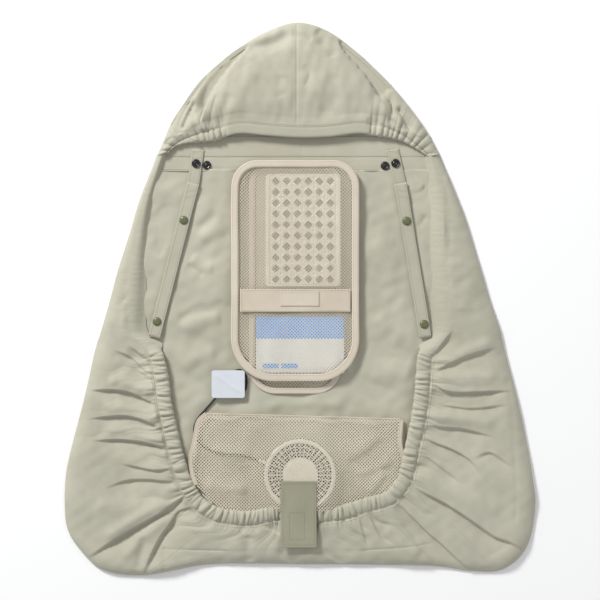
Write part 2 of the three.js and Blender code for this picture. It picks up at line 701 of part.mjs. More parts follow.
buildShell();
const sideShares = steps(0, mouthSplit - 0.005, 6).map((share) => [share, 1]);
for (const [name, side] of [['left', -1], ['right', 1]]) {
  buildWing(`${name}_wing`, side);
  buildCasing(name, sideShares, side, 20);
}
const bottomShares = [
  ...steps(mouthSplit + 0.02, 1, 5).map((share) => [share, 1]),
  ...steps(1, mouthSplit + 0.02, 5).slice(1).map((share) => [share, -1]),
];
buildSkirt();
buildCasing('bottom', bottomShares, 1, 28);
buildHood();
buildStraps();
buildPouch();
const tabUnder = buildPocket(buildFan());
buildTab(tabUnder);
buildLead();

export default cape;
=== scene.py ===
import math

import bpy
import numpy as np
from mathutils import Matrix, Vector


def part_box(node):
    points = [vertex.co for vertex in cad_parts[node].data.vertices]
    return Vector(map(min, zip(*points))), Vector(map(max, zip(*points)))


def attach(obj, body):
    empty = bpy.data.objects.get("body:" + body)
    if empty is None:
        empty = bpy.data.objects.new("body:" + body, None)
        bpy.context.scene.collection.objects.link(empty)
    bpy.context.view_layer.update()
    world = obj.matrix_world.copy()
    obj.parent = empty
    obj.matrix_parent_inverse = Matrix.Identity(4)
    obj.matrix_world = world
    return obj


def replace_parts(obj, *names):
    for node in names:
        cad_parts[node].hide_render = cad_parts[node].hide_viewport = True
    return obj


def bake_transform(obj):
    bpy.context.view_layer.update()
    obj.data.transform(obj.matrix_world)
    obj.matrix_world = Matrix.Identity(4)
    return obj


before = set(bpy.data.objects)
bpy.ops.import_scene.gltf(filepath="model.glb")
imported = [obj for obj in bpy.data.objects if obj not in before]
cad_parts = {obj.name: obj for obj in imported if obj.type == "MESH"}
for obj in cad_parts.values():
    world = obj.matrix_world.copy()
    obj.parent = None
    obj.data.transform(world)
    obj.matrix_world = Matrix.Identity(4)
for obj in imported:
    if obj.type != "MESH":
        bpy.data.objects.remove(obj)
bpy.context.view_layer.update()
mm = 0.001
scene = bpy.context.scene


# curves and grids, all on whole arrays

# Catmull-Rom through the points: each span is the cubic that leaves along (next - previous) / 2
def curveThrough(points, count):
    pts = np.asarray(points, float)
    ring = np.vstack([2 * pts[0] - pts[1], pts, 2 * pts[-1] - pts[-2]])
    spans = len(ring) - 3
    t = np.linspace(0, spans, count)
    i = np.minimum(t.astype(int), spans - 1)
    f = (t - i)[:, None]
    p0, p1, p2, p3 = (ring[i + k] for k in range(4))
    return 0.5 * (2 * p1 + (p2 - p0) * f + (2 * p0 - 5 * p1 + 4 * p2 - p3) * f**2
                  + (3 * p1 - p0 - 3 * p2 + p3) * f**3)


# running length along a polyline, zero at its first point
def lengthAlong(path):
    return np.concatenate([[0], np.cumsum(np.linalg.norm(np.diff(path, axis=0), axis=1))])


# the same path with its points spaced evenly by length
def evenly(path, count, closed=False):
    path = np.vstack([path, path[:1]]) if closed else np.asarray(path, float)
    s = lengthAlong(path)
    at = np.linspace(0, s[-1], count, endpoint=not closed)
    return np.stack([np.interp(at, s, path[:, k]) for k in range(path.shape[1])], 1)


def smoothstep(x, low, high):
    t = np.clip((x - low) / (high - low), 0, 1)
    return t * t * (3 - 2 * t)


# soft seeded noise: a sum of plane waves of about one wavelength, in random directions, about -1 to 1
def wander(x, y, seed, wavelength):
    waves = 14
    rng = np.random.default_rng(seed)
    angle = rng.uniform(0, 2 * math.pi, waves)
    k = 2 * math.pi / (wavelength * rng.uniform(0.7, 1.6, waves))
    phase = rng.uniform(0, 2 * math.pi, waves)
    total = np.zeros(np.shape(x))
    for a, f, p in zip(angle, k, phase):
        total += np.sin(f * (x * math.cos(a) + y * math.sin(a)) + p)
    return total / math.sqrt(waves)


# quads between neighbouring rows and columns of a grid of points
def gridFaces(rows, cols, wrapRows=False, wrapCols=False):
    r, c = np.meshgrid(np.arange(rows if wrapRows else rows - 1),
                       np.arange(cols if wrapCols else cols - 1), indexing="ij")
    r2, c2 = (r + 1) % rows, (c + 1) % cols
    return np.stack([r * cols + c, r2 * cols + c, r2 * cols + c2, r * cols + c2], -1).reshape(-1, 4)


# turns the faces over if a closed shell has negative volume, or an open sheet looks down
def facedOut(verts, faces, closed):
    centred = verts - verts.mean(0)
    a = centred[faces[:, 0]]
    total = 0.0
    for k in range(1, faces.shape[1] - 1):
        cross = np.cross(centred[faces[:, k]] - a, centred[faces[:, k + 1]] - a)
        total += (a * cross).sum() if closed else cross[:, 2].sum()
    return faces if total > 0 else faces[:, ::-1]


def makePiece(name, verts, faces, material, uv=None, closed=True):
    verts = np.ascontiguousarray(np.asarray(verts, float).reshape(-1, 3))
    faces = np.ascontiguousarray(facedOut(verts, faces, closed))
    mesh = bpy.data.meshes.new(name)
    mesh.vertices.add(len(verts))
    mesh.vertices.foreach_set("co", verts.astype(np.float32).ravel())
    mesh.loops.add(faces.size)
    mesh.loops.foreach_set("vertex_index", faces.ravel().astype(np.int32))
    mesh.polygons.add(len(faces))
    mesh.polygons.foreach_set("loop_start", np.arange(0, faces.size, faces.shape[1], dtype=np.int32))
    mesh.polygons.foreach_set("use_smooth", np.ones(len(faces), bool))
    mesh.update(calc_edges=True)
    if uv is not None:
        layer = mesh.uv_layers.new(name="surface")
        corners = np.asarray(uv, float).reshape(-1, 2)[faces.ravel()]
        layer.data.foreach_set("uv", corners.astype(np.float32).ravel())
    mesh.materials.append(material)
    piece = bpy.data.objects.new(name, mesh)
    scene.collection.objects.link(piece)
    return piece


# cloth: a grid of points, given its thickness by Solidify, below the face that the grid draws
def clothPiece(name, grid, uv, material):
    rows, cols = grid.shape[:2]
    piece = makePiece(name, grid, gridFaces(rows, cols), material, uv, closed=False)
    wall = piece.modifiers.new("clothThickness", "SOLIDIFY")
    wall.thickness = 0.5 * mm
    wall.offset = -1
    return piece


# area of a grid of points: the length of the cross product of each cell's two edges, added up
def gridArea(grid):
    if grid.shape[2] == 2:
        grid = np.concatenate([grid, np.zeros(grid.shape[:2] + (1,))], 2)
    along, across = np.diff(grid, axis=0)[:, :-1], np.diff(grid, axis=1)[:-1]
    return round(float(np.linalg.norm(np.cross(along, across), axis=2).sum()), 4)


# a closed profile (side, rise) carried along a path; side lies in the ground plane, rise is square to both
def carried(path, profile, closed=False, heights=None):
    ahead = np.roll(path, -1, 0) - np.roll(path, 1, 0) if closed else np.gradient(path, axis=0)
    ahead /= np.linalg.norm(ahead, axis=1)[:, None]
    side = np.cross(ahead, [0.0, 0.0, 1.0])
    side /= np.linalg.norm(side, axis=1)[:, None]
    rise = np.cross(side, ahead)
    h = np.ones(len(path)) if heights is None else heights
    return (path[:, None] + profile[None, :, 0, None] * side[:, None]
            + (h[:, None] * profile[None, :, 1])[..., None] * rise[:, None])


# the rings of a swept bar joined into one shell; open ends are closed on their middle point
def barPiece(name, rings, material, closed=False):
    count, around = rings.shape[:2]
    faces = gridFaces(count, around, wrapRows=closed, wrapCols=True)
    verts = rings.reshape(-1, 3)
    along = lengthAlong(rings.mean(1))
    girth = lengthAlong(np.vstack([rings[count // 2], rings[count // 2][:1]]))[:-1]
    uv = np.stack(np.broadcast_arrays(along[:, None], girth[None, :]), -1).reshape(-1, 2)
    if closed:
        return makePiece(name, verts, faces, material, uv)
    verts = np.vstack([verts, rings[0].mean(0), rings[-1].mean(0)])
    uv = np.vstack([uv, [[0, 0], [along[-1], 0]]])
    k = np.arange(around)
    k2 = (k + 1) % around
    last = (count - 1) * around
    begins = np.stack([k, k2, np.full(around, len(verts) - 2)], 1)
    finishes = np.stack([last + k2, last + k, np.full(around, len(verts) - 1)], 1)
    triangles = np.vstack([faces[:, [0, 1, 2]], faces[:, [0, 2, 3]], begins, finishes])
    return makePiece(name, verts, triangles, material, uv)


# a rounded slab section: a superellipse, so that its corners are soft and its faces nearly flat
def slabProfile(width, height, points=16, square=4.0):
    a = np.linspace(0, 2 * math.pi, points, endpoint=False) + math.pi / points
    c, s = np.cos(a), np.sin(a)
    return np.stack([width / 2 * np.sign(c) * np.abs(c) ** (2 / square),
                     height / 2 * np.sign(s) * np.abs(s) ** (2 / square)], 1)


# a radius and height profile turned about a vertical axis
def turned(name, profile, centre, material, around=48):
    profile = np.asarray(profile, float)
    a = np.linspace(0, 2 * math.pi, around, endpoint=False)
    x = centre[0] + profile[:, 0, None] * np.cos(a)
    y = centre[1] + profile[:, 0, None] * np.sin(a)
    z = np.broadcast_to(profile[:, 1, None] + centre[2], x.shape)
    return barPiece(name, np.stack([x, y, z], -1), material)


# distance of each point from a polyline, the side it is on (left is positive), and its share of the
# way along
def nearPath(x, y, path):
    path = np.asarray(path, float)
    s = lengthAlong(path)
    best = np.full(np.shape(x), 1e9)
    side = np.zeros(np.shape(x))
    share = np.zeros(np.shape(x))
    for k in range(len(path) - 1):
        (ax, ay), (bx, by) = path[k], path[k + 1]
        dx, dy = bx - ax, by - ay
        span = dx * dx + dy * dy
        t = np.clip(((x - ax) * dx + (y - ay) * dy) / span, 0, 1)
        px, py = x - ax - t * dx, y - ay - t * dy
        d = np.hypot(px, py)
        closer = d < best
        best = np.where(closer, d, best)
        side = np.where(closer, np.where(dx * py - dy * px >= 0, 1.0, -1.0), side)
        share = np.where(closer, (s[k] + t * (s[k + 1] - s[k])) / s[-1], share)
    return best, side, share


# the three kinds of fold; h and w are in mm, and each end dies out over the share tail of the path.
# soft: a mound h exp(-(d/w)^2)
def softFold(path, h, w, tail=0.18):
    return dict(kind="soft", path=path, h=h, w=w, tail=tail)


# valley: a groove -h exp(-d/w)
def valleyFold(path, h, w, tail=0.18):
    return dict(kind="valley", path=path, h=h, w=w, tail=tail)


# step: the left side of the path lies h higher, over a wall w wide, and comes down again over reach
def stepFold(path, h, w, reach, tail=0.18):
    return dict(kind="step", path=path, h=h, w=w, reach=reach, tail=tail)


# the height that a list of folds adds at each point
def foldHeight(x, y, folds):
    total = np.zeros(np.shape(x))
    for fold in folds:
        path = curveThrough(np.asarray(fold["path"], float) * mm, 8 * len(fold["path"]))
        d, side, share = nearPath(x, y, path)
        h, w, tail = fold["h"] * mm, fold["w"] * mm, fold["tail"]
        alive = smoothstep(share, -1e-6, tail) * (1 - smoothstep(share, 1 - tail, 1))
        if fold["kind"] == "soft":
            shape = h * np.exp(-(d / w) ** 2)
        elif fold["kind"] == "valley":
            shape = -h * np.exp(-d / w)
        else:
            signed = d * side
            wall = h * smoothstep(signed, -w / 2, w / 2)
            shape = wall * np.exp(-np.maximum(signed, 0) / (fold["reach"] * mm))
        total += shape * alive
    return total


stitch = {"pitch": 3.2 * mm, "length": 2.4 * mm, "probe": 0.4 * mm, "sides": 6,
          "shoulder": 0.32, "thin": 0.8}      # where a rod narrows, as a share of its length, and how far


# rows of stitches: short rounded rods laid end to end along paths on the cloth
def stitches(name, paths, material, radius=0.32 * mm, lift=0.12 * mm):
    sides = stitch["sides"]
    a = np.linspace(0, 2 * math.pi, sides, endpoint=False)
    ring = np.stack([np.zeros(sides), np.cos(a), np.sin(a)], 1)
    thinRing, shoulder = ring * stitch["thin"], [stitch["shoulder"], 0, 0]
    rod = np.vstack([[[-0.5, 0, 0]], thinRing - shoulder, ring, thinRing + shoulder, [[0.5, 0, 0]]])
    k, k2 = np.arange(sides), (np.arange(sides) + 1) % sides
    triangles = [np.stack([np.zeros(sides, int), 1 + k2, 1 + k], 1)]
    for low in (1, 1 + sides):
        high = low + sides
        triangles.append(np.stack([low + k, low + k2, high + k2], 1))
        triangles.append(np.stack([low + k, high + k2, high + k], 1))
    tip = 1 + 3 * sides
    triangles.append(np.stack([tip - sides + k, tip - sides + k2, np.full(sides, tip)], 1))
    triangles = np.vstack(triangles)
    verts, faces, start = [], [], 0
    for path in paths:
        path = np.asarray(path, float)
        s = lengthAlong(path)
        at = np.arange(stitch["pitch"] / 2, s[-1], stitch["pitch"])
        if len(at) == 0:
            continue
        before, middle, after = (np.stack([np.interp(at + shift, s, path[:, j]) for j in range(3)], 1)
                                 for shift in (-stitch["probe"], 0, stitch["probe"]))
        ahead = after - before
        ahead /= np.linalg.norm(ahead, axis=1)[:, None] + 1e-12
        side = np.cross(ahead, [0.0, 0.0, 1.0])
        side /= np.linalg.norm(side, axis=1)[:, None] + 1e-12
        rise = np.cross(side, ahead)
        block = (middle[:, None] + rise[:, None] * lift
                 + rod[None, :, 0, None] * stitch["length"] * ahead[:, None]
                 + rod[None, :, 1, None] * radius * side[:, None]
                 + rod[None, :, 2, None] * radius * rise[:, None])
        firsts = start + len(rod) * np.arange(len(at))
        verts.append(block.reshape(-1, 3))
        faces.append((triangles[None] + firsts[:, None, None]).reshape(-1, 3))
        start += len(rod) * len(at)
    return makePiece(name, np.vstack(verts), np.vstack(faces), material)


# the corners of a node's box, mm
def boxOf(node):
    return [np.array(corner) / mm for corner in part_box(node)]


# camera, floor and light

studio = {
    "lens": 85.0, "sensor": 36.0,       # mm
    "eye": 2.062,               # height of the camera above the floor, m
    "floor": (1.0, 1.0, 1.0), "floorHalf": 4.0, "floorDrop": 0.4 * mm,
    "sky": (0.98, 0.99, 1.0), "skyStrength": 0.46,
    "keyPower": 132.0, "keyAt": (-2.0, 2.4, 2.0), "keySize": 0.9,
    "fillPower": 4.0, "fillAt": (1.2, -0.6, 1.4), "fillSize": 1.6,
}


def flatMaterial(name, colour, roughness):
    made = bpy.data.materials.new(name)
    made.use_nodes = True
    shader = made.node_tree.nodes["Principled BSDF"]
    shader.inputs["Base Color"].default_value = (*colour, 1)
    shader.inputs["Roughness"].default_value = roughness
    return made


def areaLight(name, place, power, size):
    data = bpy.data.lights.new(name, "AREA")
    data.energy, data.size, data.shape = power, size, "DISK"
    lamp = bpy.data.objects.new(name, data)
    scene.collection.objects.link(lamp)
    lamp.location = place
    away = np.array(place) / np.linalg.norm(place)
    lamp.rotation_euler = (math.acos(away[2]), 0, math.atan2(away[1], away[0]) + math.pi / 2)


def setStudio():
    lens = bpy.data.cameras.new("camera")
    lens.lens, lens.sensor_width, lens.clip_end = studio["lens"], studio["sensor"], 20.0
    eye = bpy.data.objects.new("camera", lens)
    eye.location = (0, 0, studio["eye"])
    scene.collection.objects.link(eye)
    scene.camera = eye
    scene.view_settings.view_transform = "Standard"
    half = studio["floorHalf"]
    white = flatMaterial("studioFloor", studio["floor"], 0.9)
    floor = makePiece("floor", [(-half, -half, 0), (half, -half, 0), (half, half, 0), (-half, half, 0)],
                      np.array([[0, 1, 2, 3]]), white, closed=False)
    floor.location.z = -studio["floorDrop"]
    world = bpy.data.worlds.new("studioSky")
    world.use_nodes = True
    sky = world.node_tree.nodes["Background"].inputs
    sky["Color"].default_value = (*studio["sky"], 1)
    sky["Strength"].default_value = studio["skyStrength"]
    scene.world = world
    areaLight("keyLight", studio["keyAt"], studio["keyPower"], studio["keySize"])
    areaLight("fillLight", studio["fillAt"], studio["fillPower"], studio["fillSize"])


setStudio()
print("camera, floor and lights set")


# shader groups

def newGroup(name, inputs, outputs):
    group = bpy.data.node_groups.new(name, "ShaderNodeTree")
    for label, kind, value in inputs:
        socket = group.interface.new_socket(label, in_out="INPUT", socket_type=kind)
        if value is not None:
            socket.default_value = value
    for label, kind in outputs:
        group.interface.new_socket(label, in_out="OUTPUT", socket_type=kind)
    return group, group.nodes.new("NodeGroupInput"), group.nodes.new("NodeGroupOutput")


def mathNode(tree, kind, first, second=None):
    node = tree.nodes.new("ShaderNodeMath")
    node.operation = kind
    for socket, value in zip(node.inputs, (first, second)):
        if isinstance(value, (int, float)):
            socket.default_value = value
        elif value is not None:
            tree.links.new(value, socket)
    return node.outputs[0]


def noiseNode(tree, vector, scale, detail=3.0, rough=0.5):
    node = tree.nodes.new("ShaderNodeTexNoise")
    node.inputs["Detail"].default_value = detail
    node.inputs["Roughness"].default_value = rough
    tree.links.new(vector, node.inputs["Vector"])
    if isinstance(scale, (int, float)):
        node.inputs["Scale"].default_value = scale
    else:
        tree.links.new(scale, node.inputs["Scale"])
    return node.outputs[0]


# plain weave: sin(kx) sin(ky), whose sign says which thread is on top; slubs are noise added to it
def weaveGroup():
    tree, given, out = newGroup("plainWeave", [("Vector", "NodeSocketVector", None),
                                               ("ThreadsPerMetre", "NodeSocketFloat", 1500.0),
                                               ("Slub", "NodeSocketFloat", 0.4)],
                                [("Height", "NodeSocketFloat"), ("Tone", "NodeSocketFloat")])
    split = tree.nodes.new("ShaderNodeSeparateXYZ")
    tree.links.new(given.outputs["Vector"], split.inputs[0])
    turn = mathNode(tree, "MULTIPLY", given.outputs["ThreadsPerMetre"], math.pi)
    waves = [mathNode(tree, "SINE", mathNode(tree, "MULTIPLY", split.outputs[k], turn)) for k in (0, 1)]
    woven = mathNode(tree, "MULTIPLY", waves[0], waves[1])
    slubScale = mathNode(tree, "MULTIPLY", given.outputs["ThreadsPerMetre"], 0.35)
    slub = noiseNode(tree, given.outputs["Vector"], slubScale)
    mixed = mathNode(tree, "MULTIPLY", mathNode(tree, "SUBTRACT", slub, 0.5), given.outputs["Slub"])
    height = mathNode(tree, "ADD", mathNode(tree, "MULTIPLY", mathNode(tree, "ADD", woven, 1.0), 0.5), mixed)
    tree.links.new(height, out.inputs["Height"])
    # Tone is the height again, halved about 0.5: it is low where the threads dip, and the woven cloth darkens
    # its colour with it as painted shade
    halved = mathNode(tree, "MULTIPLY", mathNode(tree, "SUBTRACT", height, 0.5), 0.5)
    tree.links.new(mathNode(tree, "ADD", halved, 0.5), out.inputs["Tone"])
    return tree


# two scales of cloudy colour change, about 0.5, as dye and handling leave it
def mottleGroup():
    tree, given, out = newGroup("dyeMottle", [("Vector", "NodeSocketVector", None),
                                              ("Scale", "NodeSocketFloat", 12.0),
                                              ("Fine", "NodeSocketFloat", 0.35)],
                                [("Tone", "NodeSocketFloat")])
    broad = noiseNode(tree, given.outputs["Vector"], given.outputs["Scale"], 4.0, 0.55)
    fineScale = mathNode(tree, "MULTIPLY", given.outputs["Scale"], 22.0)
    fine = noiseNode(tree, given.outputs["Vector"], fineScale, 2.0)
    lean = mathNode(tree, "MULTIPLY", mathNode(tree, "SUBTRACT", fine, 0.5), given.outputs["Fine"])
    tree.links.new(mathNode(tree, "ADD", broad, lean), out.inputs["Tone"])
    return tree


# small creases left in cloth or film: thin raised lines where a stretched noise crosses its middle value; the
# woven cloth also paints its colour darker along them, as painted shade
def creaseGroup():
    tree, given, out = newGroup("smallCreases", [("Vector", "NodeSocketVector", None),
                                                 ("Scale", "NodeSocketFloat", 18.0),
                                                 ("Sharpness", "NodeSocketFloat", 7.0)],
                                [("Height", "NodeSocketFloat")])
    noise = noiseNode(tree, given.outputs["Vector"], given.outputs["Scale"], 3.0, 0.6)
    away = mathNode(tree, "ABSOLUTE", mathNode(tree, "SUBTRACT", noise, 0.5))
    line = mathNode(tree, "SUBTRACT", 1.0, mathNode(tree, "MULTIPLY", away, given.outputs["Sharpness"]))
    tree.links.new(mathNode(tree, "MAXIMUM", line, 0.0), out.inputs["Height"])
    return tree


# moulded plastic: a fine spark-eroded grain and faint long scuffs
def mouldGroup():
    tree, given, out = newGroup("mouldedGrain", [("Vector", "NodeSocketVector", None),
                                                 ("Grain", "NodeSocketFloat", 2500.0),
                                                 ("Scuffs", "NodeSocketFloat", 90.0)],
                                [("Height", "NodeSocketFloat"), ("Roughness", "NodeSocketFloat"),
                                 ("Tone", "NodeSocketFloat")])
    grain = noiseNode(tree, given.outputs["Vector"], given.outputs["Grain"], 2.0)
    scuff = noiseNode(tree, given.outputs["Vector"], given.outputs["Scuffs"], 5.0, 0.7)
    tree.links.new(grain, out.inputs["Height"])
    rough = mathNode(tree, "ADD", mathNode(tree, "MULTIPLY", scuff, 0.3), 0.25)
    tree.links.new(rough, out.inputs["Roughness"])
    tree.links.new(mathNode(tree, "ADD", mathNode(tree, "MULTIPLY", scuff, 0.7), 0.15), out.inputs["Tone"])
    return tree


weave, mottle, crease, mould = weaveGroup(), mottleGroup(), creaseGroup(), mouldGroup()


# materials

def toLinear(rgb):
    c = np.asarray(rgb, float) / 255
    return tuple(np.where(c <= 0.04045, c / 12.92, ((c + 0.055) / 1.055) ** 2.4))


def startMaterial(name, onSurface):
    made = bpy.data.materials.new(name)
    made.use_nodes = True
    tree = made.node_tree
    shader = tree.nodes["Principled BSDF"]
    if onSurface:
        source = tree.nodes.new("ShaderNodeUVMap")
        source.uv_map = "surface"
        vector = source.outputs["UV"]
    else:
        vector = tree.nodes.new("ShaderNodeTexCoord").outputs["Object"]
    return made, tree, shader, vector


def groupNode(tree, group, vector, **values):
    node = tree.nodes.new("ShaderNodeGroup")
    node.node_tree = group
    tree.links.new(vector, node.inputs["Vector"])
    for label, value in values.items():
        node.inputs[label].default_value = value
    return node.outputs


def mixColour(tree, factor, low, high):
    node = tree.nodes.new("ShaderNodeMix")
    node.data_type = "RGBA"
    tree.links.new(factor, node.inputs[0])
    for socket, value in ((node.inputs[6], low), (node.inputs[7], high)):
        if isinstance(value, tuple):
            socket.default_value = (*value, 1)
        else:
            tree.links.new(value, socket)
    return node.outputs[2]


# the range low to high laid over the range toLow to toHigh
def spread(tree, value, low, high, toLow=0.0, toHigh=1.0):
    node = tree.nodes.new("ShaderNodeMapRange")
    for label, limit in (("From Min", low), ("From Max", high), ("To Min", toLow), ("To Max", toHigh)):
        node.inputs[label].default_value = limit
    tree.links.new(value, node.inputs["Value"])
    return node.outputs[0]


def bumpChain(tree, shader, heights):
    normal = None
    for height, distance, strength in heights:
        bump = tree.nodes.new("ShaderNodeBump")
        bump.inputs["Distance"].default_value = distance
        bump.inputs["Strength"].default_value = strength
        tree.links.new(height, bump.inputs["Height"])
        if normal is not None:
            tree.links.new(normal, bump.inputs["Normal"])
        normal = bump.outputs[0]
    tree.links.new(normal, shader.inputs["Normal"])


# woven cloth: dye mottle between a shade and a light colour, thread weave and small creases as bump, and both
# also as painted shade: the colour is darker in the weave's dips and along the creases
def wovenMaterial(name, shade, light, threads=1500.0, depth=0.12, creases=0.5, rough=0.82, sheen=0.25,
                  onSurface=True):
    made, tree, shader, vector = startMaterial(name, onSurface)
    tone = groupNode(tree, mottle, vector, Scale=5.0, Fine=0.15)["Tone"]
    threadsOut = groupNode(tree, weave, vector, ThreadsPerMetre=threads)
    folds = groupNode(tree, crease, vector, Scale=18.0)["Height"]
    clouded = mixColour(tree, spread(tree, tone, 0.3, 0.7), toLinear(shade), toLinear(light))
    # painted shade: the colour is darker where the weave and its slubs sit low
    weaveDipShade = tuple(0.82 * c for c in toLinear(shade))
    woven = mixColour(tree, spread(tree, threadsOut["Tone"], 0.9, 0.1), clouded, weaveDipShade)
    # painted shade: along the small creases the colour takes more of the weave's dark
    part = mixColour(tree, spread(tree, folds, -0.6, 3.0), clouded, woven)
    tree.links.new(part, shader.inputs["Base Color"])
    roughness = spread(tree, tone, -2.0, 2.6, rough - 0.25, rough + 0.12)
    tree.links.new(roughness, shader.inputs["Roughness"])
    shader.inputs["Sheen Weight"].default_value = sheen
    shader.inputs["Sheen Roughness"].default_value = 0.5
    bumpChain(tree, shader, [(folds, 0.25 * mm, creases), (threadsOut["Height"], depth * mm, 0.35)])
    return made


def plasticMaterial(name, shade, light, rough=0.4, grain=0.3, coat=0.0, metallic=0.0):
    made, tree, shader, vector = startMaterial(name, False)
    out = groupNode(tree, mould, vector)
    colour = mixColour(tree, spread(tree, out["Tone"], 0.3, 0.7), toLinear(shade), toLinear(light))
    tree.links.new(colour, shader.inputs["Base Color"])
    tree.links.new(mathNode(tree, "ADD", out["Roughness"], rough - 0.4), shader.inputs["Roughness"])
    shader.inputs["Coat Weight"].default_value = coat
    shader.inputs["Metallic"].default_value = metallic
    bumpChain(tree, shader, [(out["Height"], 0.06 * mm, grain)])
    return made


# the gel pack's film: one colour above a line across it, another below, with plain blocks of print
def filmMaterial(name, upper, lower, lineY, blocks):
    made, tree, shader, vector = startMaterial(name, False)
    split = tree.nodes.new("ShaderNodeSeparateXYZ")
    tree.links.new(vector, split.inputs[0])
    wrinkle = groupNode(tree, crease, vector, Scale=26.0, Sharpness=5.0)["Height"]
    tone = groupNode(tree, mottle, vector, Scale=30.0, Fine=0.3)["Tone"]
    top = mixColour(tree, spread(tree, tone, 0.3, 0.7), toLinear(upper[0]), toLinear(upper[1]))
    low = mixColour(tree, spread(tree, tone, 0.3, 0.7), toLinear(lower[0]), toLinear(lower[1]))
    colour = mixColour(tree, mathNode(tree, "GREATER_THAN", split.outputs[1], lineY), low, top)
    for left, bottom, right, high in blocks:
        inside = mathNode(tree, "MULTIPLY",
                          mathNode(tree, "MULTIPLY", mathNode(tree, "GREATER_THAN", split.outputs[0], left),
                                   mathNode(tree, "LESS_THAN", split.outputs[0], right)),
                          mathNode(tree, "MULTIPLY", mathNode(tree, "GREATER_THAN", split.outputs[1], bottom),
                                   mathNode(tree, "LESS_THAN", split.outputs[1], high)))
        colour = mixColour(tree, inside, colour, toLinear(upper[0]))
    tree.links.new(colour, shader.inputs["Base Color"])
    shader.inputs["Coat Weight"].default_value = 0.3
    tree.links.new(spread(tree, tone, -0.6, 1.8), shader.inputs["Roughness"])
    bumpChain(tree, shader, [(wrinkle, 0.6 * mm, 0.5)])
    return made


shellCloth = wovenMaterial("khakiCloth", (178, 175, 156), (192, 189, 171), threads=1700.0, creases=0.3)
backCloth = wovenMaterial("khakiClothBack", (179, 176, 157), (193, 190, 172), threads=1700.0, creases=0.3)
tabCloth = wovenMaterial("khakiTabCloth", (150, 149, 126), (166, 165, 143), threads=1300.0, depth=0.18)
strapCloth = wovenMaterial("khakiStrapCloth", (176, 173, 154), (194, 191, 172), threads=1300.0, creases=0.3)
bindingTape = wovenMaterial("creamBindingTape", (208, 196, 178), (223, 213, 197), threads=900.0, depth=0.2,
                            creases=0.25)
bandTape = wovenMaterial("creamBandTape", (202, 190, 169), (216, 206, 188), threads=1200.0, creases=0.35)
netCord = wovenMaterial("creamNetYarn", (230, 219, 198), (243, 234, 215), threads=4000.0, creases=0.1,
                        onSurface=False)
thread = wovenMaterial("sewingThread", (150, 147, 126), (168, 165, 144), threads=5000.0, creases=0.1,
                       onSurface=False)
creamThread = wovenMaterial("creamThread", (190, 176, 154), (206, 194, 174), threads=5000.0, creases=0.1,
                            onSurface=False)
gelFoam = plasticMaterial("gelRubber", (234, 229, 214), (245, 241, 229), rough=0.5, grain=0.4)
fanPlastic = plasticMaterial("ivoryPlastic", (236, 233, 223), (246, 243, 235), rough=0.42, grain=0.35)
# black plastic for the plug; the fan's housing, impeller and motor take it too, as painted shade in the
# grille's slots
blackPlasticAndSlotShade = plasticMaterial("blackPlastic", (22, 22, 21), (34, 34, 32), rough=0.38, grain=0.4, coat=0.1)
oliveSnap = plasticMaterial("oliveSnapPlastic", (92, 98, 66), (108, 112, 80), rough=0.36, grain=0.25,
                            coat=0.2)
snapBlack = plasticMaterial("blackSnapPlastic", (24, 24, 24), (38, 38, 37), rough=0.3, grain=0.2, coat=0.25)
steel = plasticMaterial("brushedSteel", (170, 170, 168), (196, 196, 194), rough=0.32, grain=0.3, metallic=1.0)
leadRubber = plasticMaterial("leadRubber", (26, 25, 23), (42, 40, 36), rough=0.45, grain=0.3)
tagCard = wovenMaterial("tagCard", (212, 217, 224), (224, 228, 233), threads=2600.0, depth=0.05, creases=0.35,
                        rough=0.6, sheen=0.0)
hookTape = wovenMaterial("hookTape", (140, 139, 118), (158, 156, 134), threads=700.0, depth=0.5, creases=0.1,
                         onSurface=False)
print("materials made:", len(bpy.data.materials))


# the fan's lead and plug

lead = {
    "fan": (0.0, -253.0),      # the route is counted from the fan's centre, mm
    "level": 3.8,
    "diameter": 3.0,
    # x, y and height above the level, from the fan to the plug
    "route": [(-59.9, 19.95, 1.5), (-76, 25.5, 0.7), (-92, 28.5, 0), (-108, 29, 0), (-122, 31.5, 0),
              (-134, 36.5, 0), (-144, 44, 0), (-151.5, 53.5, 0), (-154, 64, 0), (-152, 74, 0),
              (-147, 83, 0), (-139, 92, 0), (-131, 101, 0), (-122, 111.5, 0), (-114, 122.5, 0),
              (-107, 133, 0), (-101, 143, 0), (-94.5, 149.5, 0), (-87.5, 151.5, 0), (-81.5, 148.5, 0),
              (-78.5, 141.5, 0), (-77.5, 133, 0), (-78.5, 125, 0), (-83, 118.5, 0), (-90, 117, 0)],
    "plugRadius": [(0, 1.7), (1.2, 2.2), (2.4, 2.75), (7, 2.85), (7.6, 2.5), (8.2, 2.85), (9.4, 2.85),
                   (10, 2.5), (10.6, 2.85), (11.8, 2.85), (12.4, 2.5), (13, 2.85), (14.4, 2.85),
                   (15, 2.3)],
    "tipRadius": [(0, 1.6), (0.3, 1.75), (5.2, 1.75), (5.6, 1.3), (6.3, 1.0)],
    "bootRadius": [(0, 1.7), (1, 2.1), (5, 2.35), (5.4, 1.9), (6.2, 1.9), (6.6, 2.5), (8.6, 2.6), (9, 2.1),
                   (9.8, 2.1), (10.2, 2.8), (11.5, 2.9)],
    "steps": 130, "sides": 12,
}


# circles of the given radii, square to a line from start along heading
def barrelRings(stations, start, heading, around=24):
    stations = np.asarray(stations, float) * mm
    a = np.linspace(0, 2 * math.pi, around, endpoint=False)
    heading = np.asarray(heading, float) / np.linalg.norm(heading)
    side = np.cross(heading, [0, 0, 1.0])
    side /= np.linalg.norm(side)
    rise = np.cross(side, heading)
    middle = np.asarray(start) + stations[:, 0, None] * heading
    return (middle[:, None] + stations[:, 1, None, None]
            * (np.cos(a)[None, :, None] * side + np.sin(a)[None, :, None] * rise))


